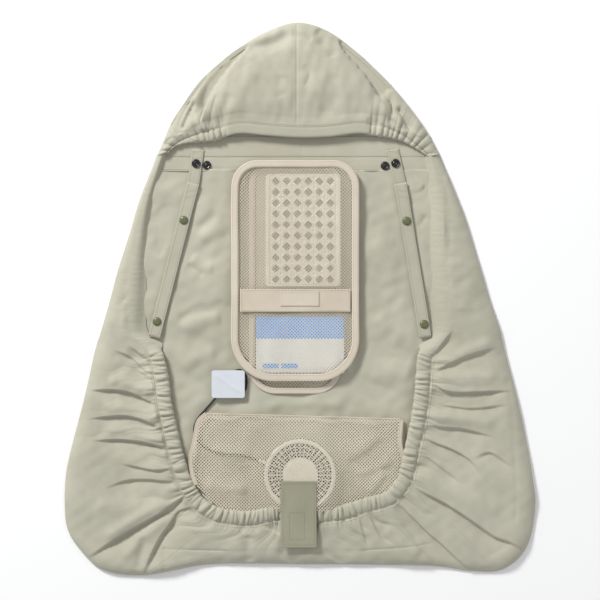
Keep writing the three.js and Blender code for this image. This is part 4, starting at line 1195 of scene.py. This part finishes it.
makeHoodBack(makeHood())


# shared shapes for the flat pieces

# a rectangle with its own radius at the top and the bottom corners, as arcs, run anticlockwise
def roundedOutline(left, right, low, high, topRound, lowRound, count=240):
    corners = [(right - topRound, high - topRound, topRound, 0),
               (left + topRound, high - topRound, topRound, 90),
               (left + lowRound, low + lowRound, lowRound, 180),
               (right - lowRound, low + lowRound, lowRound, 270)]
    turn = np.radians(np.linspace(0, 90, 24))
    arcs = [np.stack([cx + r * np.cos(turn + math.radians(a)), cy + r * np.sin(turn + math.radians(a))], 1)
            for cx, cy, r, a in corners]
    return evenly(np.vstack(arcs), count, closed=True)


# the outline moved in by a distance, square to itself
def insetBy(outline, distance):
    ahead = np.roll(outline, -1, 0) - np.roll(outline, 1, 0)
    ahead /= np.linalg.norm(ahead, axis=1)[:, None]
    return outline + distance * np.stack([-ahead[:, 1], ahead[:, 0]], 1)


# a thin plate from an outline: rings shrink to its middle below, round its edge and shrink again above
def platePiece(name, outline, low, high, edge, material, lift=None, rings=9):
    middle = outline.mean(0)
    inner = insetBy(outline, edge)
    shrink = np.linspace(0.04, 1, rings)
    under = [middle + (inner - middle) * s for s in shrink]
    bend = np.radians(np.linspace(-70, 70, 5))
    rim = [insetBy(outline, edge * (1 - math.cos(b))) for b in bend]
    levels = [low] * rings
    levels += [(low + high) / 2 + (high - low) / 2 * math.sin(b) for b in bend]
    levels += [high] * rings
    plan = np.stack(under + rim + under[::-1])
    height = np.array(levels)[:, None] + np.zeros(plan.shape[:2])
    if lift is not None:
        height = height + lift(plan[..., 0], plan[..., 1])
    rings3 = np.concatenate([plan, height[..., None]], 2) * mm
    piece = barPiece(name, rings3, material)
    flatten = np.zeros((len(piece.data.vertices), 3), np.float32)
    piece.data.vertices.foreach_get("co", flatten.ravel())
    corners = np.zeros(len(piece.data.loops), np.int32)
    piece.data.loops.foreach_get("vertex_index", corners)
    piece.data.uv_layers["surface"].data.foreach_set("uv", flatten.reshape(-1, 3)[corners][:, :2].ravel())
    return piece


def finishNodes(material, *nodes):
    for node in nodes:
        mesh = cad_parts[node].data
        mesh.materials.clear()
        mesh.materials.append(material)


def standFor(piece, body, slot, *nodes):
    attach(piece, body)
    if nodes:
        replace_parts(piece, *nodes)
    return piece


def middleOf(node):
    low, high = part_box(node)
    return np.array((low + high) / 2), np.array(low), np.array(high)


# straps and snaps

strap = {
    "width": 17.4, "thick": 1.3, "sway": 0.35, "seamInset": 1.9,
    # bars: where stitches cross the strap, as shares of its length
    "long": {"steps": 60, "waves": 9, "bars": (0.05, 0.09, 0.985)},
    "short": {"steps": 24, "waves": 3, "bars": (0.06, 0.2, 0.9)},
    "olive": [(0.7, 2.5), (2.4, 2.42), (4.0, 2.15), (5.2, 1.6), (6.0, 0.95), (6.35, 0.35), (6.1, 0.0),
              (3, 0)],
    "black": [(0.5, 0.8), (1.5, 0.85), (1.8, 1.7), (2.3, 1.95), (2.9, 1.8), (3.2, 1.05), (4.3, 1.0),
              (4.7, 1.9), (5.2, 2.1), (5.9, 1.95), (6.35, 1.3), (6.35, 0.3), (5.9, 0), (3, 0)],
    "stud": [(0.5, 2.45), (1.4, 2.4), (1.9, 2.0), (1.9, 1.3), (2.2, 1.0), (3.6, 0.95), (4.1, 1.45),
             (5.2, 1.6), (6.0, 1.3), (6.3, 0.7), (6.2, 0.1), (3, 0)],
}


def makeSnap(name, profile, node, material, slotName, body):
    middle, low, _ = middleOf(node)
    snap = turned(name, np.array(strap[profile]) * mm, (middle[0], middle[1], low[2]), material, 40)
    return standFor(snap, body, slotName, node)


def makeStraps():
    section = slabProfile(strap["width"] * mm, strap["thick"] * mm, 20, 7)
    for side, sign in (("left", -1), ("right", 1)):
        body = side + "_strap"
        for part in ("short", "long"):
            values = strap[part]
            middle, low, high = middleOf(f"{side}_{part}_strap")
            half = strap["width"] / 2 * mm
            left, right = low[0] + half, high[0] - half
            topX, endX = (right, left) if side == "left" else (left, right)
            lean = (endX - topX) / (high[1] - low[1])
            slack = abs(lean) * half
            t = np.linspace(0, 1, values["steps"])
            sway = strap["sway"] * mm * np.sin(t * values["waves"] + sign)
            line = np.stack([topX + (endX - topX) * t,
                             high[1] - slack - (high[1] - low[1] - 2 * slack) * t, middle[2] + sway], 1)
            name = side + part.capitalize() + "Strap"
            webbing = barPiece(name, carried(line, section), strapCloth)
            standFor(webbing, body, "shell_cloth", f"{side}_{part}_strap")
            across = np.array([math.cos(math.atan(-lean)), math.sin(math.atan(-lean)), 0])
            rim = (strap["width"] / 2 - strap["seamInset"]) * mm
            up = np.array([0, 0, strap["thick"] / 2 * mm])
            rows = [line + across * rim * s + up for s in (-1, 1)]
            for share in values["bars"]:
                at = np.array([np.interp(share, t, line[:, k]) for k in range(3)]) + up
                rows.append(np.array([at - across * rim, at, at + across * rim]))
            sewn = stitches(name + "Stitches", rows, thread, radius=0.26 * mm)
            standFor(sewn, body, "shell_cloth")
        for place in ("upper", "lower"):
            makeSnap(f"{side}{place.capitalize()}OliveCap", "olive", f"{side}_{place}_olive_cap", oliveSnap,
                     "olive_snap", body)
        makeSnap(side + "BlackSnapCap", "black", side + "_black_snap_cap", snapBlack, "black_snap", body)
        makeSnap(side + "SpareStud", "stud", side + "_spare_snap_stud", snapBlack, "black_snap", "root")
        finishNodes(oliveSnap, side + "_upper_olive_socket", side + "_lower_olive_socket")


makeStraps()


# nets

def insidePolygon(x, y, corners):
    found = np.zeros(np.shape(x), bool)
    for (ax, ay), (bx, by) in zip(corners, np.roll(corners, -1, 0)):
        if ay != by:
            crosses = (ay > y) != (by > y)
            found ^= crosses & (x < (bx - ax) * (y - ay) / (by - ay) + ax)
    return found


# two families of flat threads at +45 and -45 degrees, cut off by the outline. Each thread is a row of
# points along its line; neighbouring points that are both inside are joined by a four-sided bar
def netPiece(name, corners, height, material, pitch=3.4, width=1.0, thick=0.7, step=6.0):
    corners = np.asarray(corners, float)
    low, high = corners.min(0), corners.max(0)
    middle, radius = (low + high) / 2, np.linalg.norm(high - low) / 2
    offsets = np.arange(-radius, radius, pitch)
    along = np.arange(-radius, radius, step)
    verts, faces, start = [], [], 0
    for turn, rise in ((45, 0.0), (-45, 0.24)):
        a = math.radians(turn)
        ahead = np.array([math.cos(a), math.sin(a)])
        side = np.array([-math.sin(a), math.cos(a)])
        plan = middle + offsets[:, None, None] * side + along[None, :, None] * ahead
        x, y = plan[..., 0], plan[..., 1]
        inside = insidePolygon(x, y, corners)
        z = height(x, y) + rise
        ring = np.stack([np.concatenate([plan + side * width / 2 * s, (z + t * thick / 2)[..., None]], 2)
                         for s, t in ((-1, 0), (0, 1), (1, 0), (0, -1))], 2)
        index = np.arange(inside.size).reshape(inside.shape) * 4 + start
        joined = inside[:, :-1] & inside[:, 1:]
        a0, b0 = index[:, :-1][joined], index[:, 1:][joined]
        for k in range(4):
            n = (k + 1) % 4
            faces.append(np.stack([a0 + k, a0 + n, b0 + n, b0 + k], 1))
        padded = np.pad(joined, ((0, 0), (1, 1)))
        begins = index[padded[:, 1:] & ~padded[:, :-1]]
        finishes = index[padded[:, :-1] & ~padded[:, 1:]]
        faces.append(np.stack([begins, begins + 3, begins + 2, begins + 1], 1))
        faces.append(np.stack([finishes, finishes + 1, finishes + 2, finishes + 3], 1))
        verts.append(ring.reshape(-1, 3))
        start += inside.size * 4
    verts, faces = np.vstack(verts), np.vstack(faces)
    used, numbered = np.unique(faces, return_inverse=True)
    return makePiece(name, verts[used] * mm, numbered.reshape(-1, 4), material)


# gel pouch

pouch = {
    "front": dict(left=-100, right=86, low=-118, high=203, topRound=39, lowRound=61),
    "back": dict(left=-74, right=60, low=-136, high=197, topRound=26, lowRound=38),
    "tape": 10.6, "tapeTall": 5.4, "tapeLevel": 10.4, "mouthTall": 1.8, "mouthWaver": 0.15,
    "backTape": 8.5, "backTapeTall": 1.3, "backStitchInset": 6.4, "backNetLevel": 2.85,
    "netLevel": 11.9, "netSag": 2.3,
    # where the stitches run and the net ends, as shares of the front tape's width
    "stitchShares": (0.20, 0.82), "netShare": 0.62,
}


# the front tape; returns the outline that its net hangs from
def makeFrontBinding():
    outline = roundedOutline(**pouch["front"], count=420)
    wobble = 0.5 * wander(outline[:, 0], outline[:, 1], 71, 90)
    outline = insetBy(outline, 0.4) + wobble[:, None] * 0.6
    centre = insetBy(outline, pouch["tape"] / 2)
    # the lower edge is the mouth: its tape is thin and clears the pack that slides out below it
    mouth = smoothstep(-centre[:, 1], 62, 100)
    tall = pouch["tapeTall"] * (1 - mouth) + pouch["mouthTall"] * mouth
    waver = pouch["mouthWaver"] * (1 + np.sin(centre[:, 0] / 24))
    top = pouch["tapeLevel"] + pouch["tapeTall"] / 2 + waver * mouth
    path = np.column_stack([centre, top - tall / 2]) * mm
    section = slabProfile(pouch["tape"] * mm, pouch["tapeTall"] * mm, 24, 4.6)
    rings = carried(path, section, closed=True, heights=tall / pouch["tapeTall"])
    tape = barPiece("pouchFrontBinding", rings, bindingTape, closed=True)
    standFor(tape, "root", "binding", "pouch_front_binding")
    rows = []
    for inset in (pouch["tape"] * share for share in pouch["stitchShares"]):
        row = np.column_stack([insetBy(outline, inset), top - 0.07]) * mm
        rows.append(np.vstack([row, row[:1]]))
    standFor(stitches("pouchFrontStitches", rows, creamThread, radius=0.28 * mm), "root", "binding")
    print("pouch binding made")
    return outline


# the tape of the layer below; returns the middle line of the tape
def makeBackBinding():
    behind = roundedOutline(**pouch["back"], count=360)
    behindLine = insetBy(behind, pouch["backTape"] / 2)
    backLevel = middleOf("pouch_back_binding")[0][2] / mm
    path = np.column_stack([behindLine, np.full(len(behind), backLevel)]) * mm
    section = slabProfile(pouch["backTape"] * mm, pouch["backTapeTall"] * mm, 20, 3.5)
    backTape = barPiece("pouchBackBinding", carried(path, section, closed=True), bindingTape, closed=True)
    standFor(backTape, "root", "binding", "pouch_back_binding")
    row = insetBy(behind, pouch["backStitchInset"])
    row = np.vstack([row, row[:1]])
    row = np.column_stack([row, np.full(len(row), backLevel + 0.62)]) * mm
    standFor(stitches("pouchBackStitches", [row], creamThread, radius=0.26 * mm), "root", "binding")
    return behindLine


# the net lies on the mat and the pack and sags between them and the tape
def frontNetHeight(x, y):
    away = np.minimum(outside(x, y, *boxOf("gel_mat")), outside(x, y, *boxOf("gel_pack")))
    sag = pouch["netSag"] * smoothstep(away, 1, 14)
    return pouch["netLevel"] - sag + 0.35 * wander(x, y, 72, 45)


def makePouchNets(outline, behindLine):
    inner = insetBy(outline, pouch["tape"] * pouch["netShare"])
    netting = netPiece("pouchFrontNet", inner[::3], frontNetHeight, netCord, width=0.95, thick=0.95)
    standFor(netting, "root", "net", "pouch_front_net")
    behindNet = netPiece("pouchBackNet", insetBy(behindLine, -1)[::3],
                         lambda x, y: pouch["backNetLevel"] + 0 * x, netCord, width=1.1, thick=0.9)
    standFor(behindNet, "root", "net", "pouch_back_net")
    print("pouch nets made")


mat = {"pitch": 15.8, "columns": 6, "rows": 10, "hole": 5.6, "power": 1.15, "corner": 7.0, "round": 0.9,
       "around": 24, "rimPoints": 384}


# one cell: rings from the square's edge in over the top, down the diamond hole's wall and out below
def makeMat():
    low, high = boxOf("gel_mat")
    middle = (low + high) / 2
    a = np.linspace(0, 2 * math.pi, mat["around"], endpoint=False)
    ray = np.stack([np.cos(a), np.sin(a)], 1)
    square = ray / np.abs(ray).max(1)[:, None] * mat["pitch"] / 2
    size = (np.abs(ray) ** mat["power"]).sum(1)[:, None] ** (1 / mat["power"])
    diamond = ray / size * mat["hole"]
    r = mat["round"]
    top, bottom = high[2] - 0.2, low[2] + 0.1
    # shares of the square and of the diamond in each ring, and its height from the top
    shares = [(1.0, 0, -0.5), (0.6, 0.56, 0.0), (0, 1.22, 0.0), (0, 1.06, -0.3 * r), (0, 1.0, -r)]
    rings = [np.column_stack([square * outer + diamond * inner, np.full(len(ray), top + rise)])
             for outer, inner, rise in shares]
    rings += [np.column_stack([ring[:, :2], bottom + (top - ring[:, 2])]) for ring in rings[::-1]]
    cell = np.stack(rings)
    columns = (np.arange(mat["columns"]) - (mat["columns"] - 1) / 2) * mat["pitch"] + middle[0]
    rows = (np.arange(mat["rows"]) - (mat["rows"] - 1) / 2) * mat["pitch"] + middle[1]
    places = np.stack(np.meshgrid(columns, rows), -1).reshape(-1, 1, 1, 2)
    cells = np.broadcast_to(cell, (len(places), *cell.shape)).copy()
    cells[..., :2] += places
    faces = facedOut(cell.reshape(-1, 3), gridFaces(*cell.shape[:2], wrapRows=True, wrapCols=True), True)
    firsts = np.arange(len(places)) * cell.size // 3
    faces = (faces[None] + firsts[:, None, None]).reshape(-1, 4)
    # border: from the lattice's rectangle out to the mat's rounded edge and back under
    halfX, halfY = mat["columns"] * mat["pitch"] / 2, mat["rows"] * mat["pitch"] / 2
    count = mat["rimPoints"]
    lattice = roundedOutline(middle[0] - halfX, middle[0] + halfX, middle[1] - halfY, middle[1] + halfY,
                             0.3, 0.3, count)
    rim = roundedOutline(low[0], high[0], low[1], high[1], mat["corner"], mat["corner"], count)
    lines = [(lattice, 0.5), (insetBy(rim, 1.2), 0.2), (insetBy(rim, 0.3), 1.0), (rim, 2.2)]
    border = [(line, top - drop) for line, drop in lines]
    border += [(line, bottom + drop) for line, drop in lines[::-1]]
    band = np.stack([np.column_stack([line, np.full(count, level)]) for line, level in border])
    bandFaces = gridFaces(len(border), count, wrapRows=True, wrapCols=True)
    bandFaces = facedOut(band.reshape(-1, 3), bandFaces, True) + cells.size // 3
    verts = np.vstack([cells.reshape(-1, 3), band.reshape(-1, 3)])
    pad = makePiece("gelMat", verts * mm, np.vstack([faces, bandFaces]), gelFoam)
    standFor(pad, "root", "gel_mat", "gel_mat")
    print("gel mat made")


pack = {
    "seal": 5.0, "bulge": 4.6, "line": -56.0, "film": 0.5, "steps": (120, 90), "power": 5,
    "upper": ((78, 172, 250), (110, 188, 252)), "lower": ((232, 240, 246), (244, 248, 250)),
    # plain blocks of print: left, bottom, right, top
    "blocks": [(-54, -99, -31, -92), (-27, -99, -3, -92)],
}


# a sealed pillow: thickness grows from the film at the seal as (1 - u^5)(1 - v^5), with seeded creases
def makePack():
    low, high = boxOf("gel_pack")
    middle, half = (low + high) / 2, (high - low) / 2
    blocks = [[value * mm for value in block] for block in pack["blocks"]]
    film = filmMaterial("gelPackFilm", pack["upper"], pack["lower"], pack["line"] * mm, blocks)
    along, across = pack["steps"]
    overAndUnder = np.concatenate([np.linspace(-1, 1, across), np.linspace(1, -1, across)[1:-1]])
    u, v = np.meshgrid(np.linspace(-1, 1, along), overAndUnder, indexing="ij")
    over = (np.arange(v.shape[1]) < across)[None, :]
    inU = np.clip(np.abs(u) * half[0] / (half[0] - pack["seal"]), 0, 1)
    inV = np.clip(np.abs(v) * half[1] / (half[1] - pack["seal"]), 0, 1)
    puff = (1 - inU ** pack["power"]) * (1 - inV ** pack["power"])
    x, y = middle[0] + u * half[0], middle[1] + v * half[1]
    crumple = 0.35 * wander(x, y, 81, 22) + 0.2 * wander(x, y, 82, 9)
    thick = pack["film"] + pack["bulge"] * puff + crumple * np.sqrt(puff)
    thick = np.where(np.abs(u) > 0.9999, 0, thick)
    crimp = 0.12 * np.sin(x * 3.2) * (1 - puff)
    z = middle[2] + np.where(over, thick / 2, -thick / 2) + crimp
    pillow = makePiece("gelPack", np.stack([x, y, z], -1).reshape(-1, 3) * mm,
                       gridFaces(*u.shape, wrapCols=True), film)
    standFor(pillow, "pack", "gel_pack", "gel_pack")
    print("gel pack made")


def makeBand():
    low, high = boxOf("pouch_band")
    plan = roundedOutline(low[0], high[0], low[1], high[1], 0.8, 0.8, 360)
    ripple = lambda x, y: 0.35 * wander(x, y, 91, 48)
    band = platePiece("pouchBand", plan, low[2], high[2] - 0.3, 0.5, bandTape, ripple, rings=26)
    standFor(band, "root", "binding", "pouch_band")
    face = high[2] - 0.2
    rows = [np.linspace((low[0] + 2, y, face), (high[0] - 2, y, face), 80) * mm
            for y in (low[1] + 2.2, high[1] - 2.2)]
    rows += [np.linspace((x, low[1] + 2, face), (x, high[1] - 2, face), 20) * mm
             for x in (low[0] + 2.4, high[0] - 2.4)]
    low, high = boxOf("pouch_band_patch")
    patch = platePiece("pouchBandPatch", roundedOutline(low[0], high[0], low[1], high[1], 0.8, 0.8, 160),
                       low[2] - 0.3, high[2] - 0.3, 0.4, bindingTape)
    standFor(patch, "root", "binding", "pouch_band_patch")
    edge = roundedOutline(low[0] + 1.6, high[0] - 1.6, low[1] + 1.6, high[1] - 1.6, 0.5, 0.5, 160)
    rows.append(np.column_stack([np.vstack([edge, edge[:1]]), np.full(161, high[2] - 0.25)]) * mm)
    standFor(stitches("pouchBandStitches", rows, creamThread, radius=0.28 * mm), "root", "binding")
    print("band made")


makePouchNets(makeFrontBinding(), makeBackBinding())
makeMat()
makePack()
makeBand()


# fan, its net pocket, the closure tab and the cable tag

fan = {
    "ribs": 36, "ribWide": 1.3, "ribTall": 1.5, "ribFrom": 24.0, "ribTo": 47.5,
    "ribLevels": [1.0, 1.1, 1.15, 1.1, 1.0],      # height from the hub's end to the rim's
    "rings": [33.0, 40.5], "ringWide": 1.0, "ringTall": 1.6, "ringLevel": 1.15,
    "rim": [(45.8, 0.3), (45.9, 1.9), (46.8, 2.6), (48.6, 2.8), (50.4, 2.4), (51.6, 1.4), (51.9, 0.2),
            (50, 0), (47, 0)],
    "hub": [(0.6, 2.6), (8, 2.55), (15, 2.35), (20, 2.0), (22.2, 1.7), (22.8, 1.3), (23.6, 1.3),
            (24.2, 1.6), (25.2, 1.3), (25.6, 0.4), (25.0, 0.0), (12, 0.0), (4, 0.0)],
}


# one bar turned round the middle: every copy is the first, rotated by its share of a whole turn
def spunCopies(name, ring, count, centre, material):
    sections, around = ring.shape[:2]
    faces = gridFaces(sections, around, wrapCols=True)
    k = np.arange(around)
    lids = np.vstack([k.reshape(1, -1), (sections - 1) * around + k[::-1].reshape(1, -1)])
    faces = np.vstack([faces[:, [0, 1, 2]], faces[:, [0, 2, 3]]]
                      + [np.stack([np.full(around - 2, lid[0]), lid[1:-1], lid[2:]], 1) for lid in lids])
    faces = facedOut(ring.reshape(-1, 3), faces, True)
    a = np.linspace(0, 2 * math.pi, count, endpoint=False)
    flat = ring.reshape(-1, 3)
    x = flat[None, :, 0] * np.cos(a)[:, None] - flat[None, :, 1] * np.sin(a)[:, None] + centre[0]
    y = flat[None, :, 0] * np.sin(a)[:, None] + flat[None, :, 1] * np.cos(a)[:, None] + centre[1]
    verts = np.stack([x, y, np.broadcast_to(flat[:, 2] + centre[2], x.shape)], -1).reshape(-1, 3)
    faces = (faces[None] + (np.arange(count) * len(flat))[:, None, None]).reshape(-1, 3)
    return makePiece(name, verts, faces, material)


def makeFan():
    middle, low, _ = middleOf("fan_grille")
    centre = np.array([middle[0], middle[1], low[2]])
    levels = fan["ribLevels"]
    line = np.column_stack([np.linspace(fan["ribFrom"], fan["ribTo"], len(levels)), np.zeros(len(levels)),
                            levels]) * mm
    section = slabProfile(fan["ribWide"] * mm, fan["ribTall"] * mm, 8, 3)
    ribs = spunCopies("fanGrilleRibs", carried(line, section), fan["ribs"], centre, fanPlastic)
    standFor(ribs, "root", "fan_plastic", "fan_grille")
    a = np.linspace(0, 2 * math.pi, 96, endpoint=False)
    ringSection = slabProfile(fan["ringWide"] * mm, fan["ringTall"] * mm, 10, 3)
    for number, radius in enumerate(fan["rings"]):
        circle = np.column_stack([radius * mm * np.cos(a) + centre[0], radius * mm * np.sin(a) + centre[1],
                                  np.full(len(a), centre[2] + fan["ringLevel"] * mm)])
        ring = barPiece(f"fanGrilleRing{number + 1}",
                        carried(circle, ringSection, closed=True), fanPlastic, closed=True)
        standFor(ring, "root", "fan_plastic")
    profile = np.array(fan["rim"]) * mm
    b = np.linspace(0, 2 * math.pi, 128, endpoint=False)
    x = centre[0] + profile[None, :, 0] * np.cos(b)[:, None]
    y = centre[1] + profile[None, :, 0] * np.sin(b)[:, None]
    rim = np.stack([x, y, np.broadcast_to(centre[2] + profile[None, :, 1], x.shape)], -1)
    standFor(barPiece("fanGrilleRim", rim, fanPlastic, closed=True), "root", "fan_plastic")
    hubCap = turned("fanHubCap", np.array(fan["hub"]) * mm, centre, fanPlastic, 72)
    standFor(hubCap, "root", "fan_plastic", "fan_hub_cap")
    # painted shade: the housing, impeller and motor are coloured black so that the slots between the grille's
    # ribs read dark
    finishNodes(blackPlasticAndSlotShade, "fan_back_housing", "fan_impeller", "fan_motor")
    finishNodes(steel, "fan_shaft")
    print("fan made")


pocket = {
    "corners": [(-136, -165), (-148, -178), (-153, -206), (-158, -228), (-156, -251), (-150, -268),
                (-138, -286), (-122, -300), (-100, -311), (-69, -312), (-36, -306), (0, -309), (28, -308),
                (61, -304), (99, -293), (126, -286), (140, -274), (152, -262), (154, -240), (145, -209),
                (147, -173)],
    "level": 8.2, "overFan": 18.3, "fanEdge": 50.0, "slope": 34.0, "sag": 1.6,
    "hemTape": 3.0, "sideTape": 6.6, "tapeThick": 0.8, "stitchInset": 1.3, "highest": 18.5,
    "folds": [softFold([(60, -232), (88, -216), (120, -190)], 5.5, 9),
              softFold([(72, -250), (100, -244), (136, -230)], 5.5, 8),
              softFold([(96, -280), (112, -262), (124, -246)], 5.0, 7),
              softFold([(-130, -210), (-100, -222), (-66, -226)], 4.5, 9),
              softFold([(-140, -262), (-110, -272), (-72, -270)], 5.0, 9),
              softFold([(10, -172), (16, -184), (10, -196)], 2.6, 7)],
}


def pocketHeight(x, y):
    middle = middleOf("fan_back_housing")[0] / mm
    away = np.hypot(x - middle[0], y - middle[1])
    over = 1 - smoothstep(away, pocket["fanEdge"], pocket["fanEdge"] + pocket["slope"])
    free = 1 - over
    cloud = pocket["sag"] * np.maximum(wander(x, y, 101, 46) + 0.3, -0.2)
    low = pocket["level"] + free * (cloud + foldHeight(x * mm, y * mm, pocket["folds"]) / mm)
    return np.minimum(low + (pocket["overFan"] - pocket["level"]) * over, pocket["highest"])


def makePocket():
    corners = curveThrough(pocket["corners"], 60)
    net = netPiece("fanPocketNet", corners, pocketHeight, netCord, width=1.12, thick=0.8, step=3.6)
    standFor(net, "root", "net", "fan_pocket_net")
    corners = np.array(pocket["corners"], float)
    sides = [("fanPocketHem", corners[[0, -1]], pocket["hemTape"], None),
             ("fanPocketLeftBinding", corners[:6], pocket["sideTape"], "fan_pocket_left_binding"),
             ("fanPocketRightBinding", corners[[-1, -2, -3]], pocket["sideTape"], "fan_pocket_right_binding")]
    for name, run, wide, node in sides:
        line = evenly(curveThrough(run, 60), 90)
        z = pocketHeight(line[:, 0], line[:, 1]) + 0.3
        path = np.column_stack([line, z]) * mm
        thick = pocket["tapeThick"] * mm
        tape = barPiece(name, carried(path, slabProfile(wide * mm, thick, 14, 3.5)), bandTape)
        standFor(tape, "root", "net", *([node] if node else []))
        side = np.cross(np.gradient(path, axis=0), [0, 0, 1.0])
        side /= np.linalg.norm(side, axis=1)[:, None]
        rows = [path + side * s * (wide / 2 - pocket["stitchInset"]) * mm + [0, 0, 0.5 * mm] for s in (-1, 1)]
        standFor(stitches(name + "Stitches", rows, creamThread, radius=0.26 * mm), "root", "net")
    print("pocket made")


# hem and box: where the rows of stitches run; box is left, right, bottom, top
tab = {"edge": 3.4, "box": (-15.5, 6.4, -345.0, -306.0), "hem": -352.5}


def makeTab():
    low, high = boxOf("closure_tab")
    bow = lambda x, y: 0.35 * wander(x, y, 111, 40) - 0.5 * ((x - (low[0] + high[0]) / 2) / 25) ** 4
    outline = roundedOutline(low[0], high[0], low[1], high[1], 1.0, 1.2, 420)
    strip = platePiece("closureTab", outline, low[2] + 0.2, high[2] - 0.2, 0.6, tabCloth, bow, rings=30)
    standFor(strip, "tab", "shell_cloth", "closure_tab")
    top = high[2] - 0.15
    y = np.linspace(high[1] - 3, low[1] + 2, 90)
    rows = [np.column_stack([np.full(90, x), y]) for x in (low[0] + tab["edge"], high[0] - tab["edge"])]
    left, right, bottom, upper = tab["box"]
    box = roundedOutline(left, right, bottom, upper, 0.4, 0.4, 200)
    rows.append(np.vstack([box, box[:1]]))
    x = np.linspace(low[0] + 2, high[0] - 2, 50)
    rows.append(np.column_stack([x, np.full(50, tab["hem"])]))
    rows.append(np.column_stack([x, np.full(50, high[1] - 3)]))
    rows = [np.column_stack([row, top + bow(row[:, 0], row[:, 1])]) * mm for row in rows]
    sewn = stitches("closureTabStitches", rows, thread, radius=0.3 * mm)
    standFor(sewn, "tab", "shell_cloth")
    finishNodes(hookTape, "tab_hook_patch", "skirt_loop_patch")
    print("tab made")


def makeTag():
    low, high = boxOf("cable_tag")
    outline = roundedOutline(low[0], high[0], low[1], high[1], 3.4, 3.4, 300)
    # a faint crease runs across from corner to corner, and the free corner lifts
    turn = [softFold([(low[0] + 2, high[1] - 4), (high[0] - 3, low[1] + 6)], 0.5, 3)]
    lift = lambda x, y: (foldHeight(x * mm, y * mm, turn) / mm
                         + 0.9 * (np.clip((x - low[0]) / (high[0] - low[0]), 0, 1) ** 3)
                         * np.clip((y - low[1]) / (high[1] - low[1]), 0, 1))
    card = platePiece("cableTag", outline, high[2] - 0.9, high[2] - 0.2, 0.3, tagCard, lift, rings=22)
    standFor(card, "tag", "tag", "cable_tag")
    foot = roundedOutline(low[0], low[0] + 3.2, low[1] + 14, high[1] - 14, 1.2, 1.2, 60)
    stem = platePiece("cableTagLoop", foot, low[2] + 0.1, high[2] - 0.8, 0.5, tagCard)
    standFor(stem, "tag", "tag")
    print("tag made")


makeFan()
makePocket()
makeTab()
makeTag()
scene.frame_set(1)
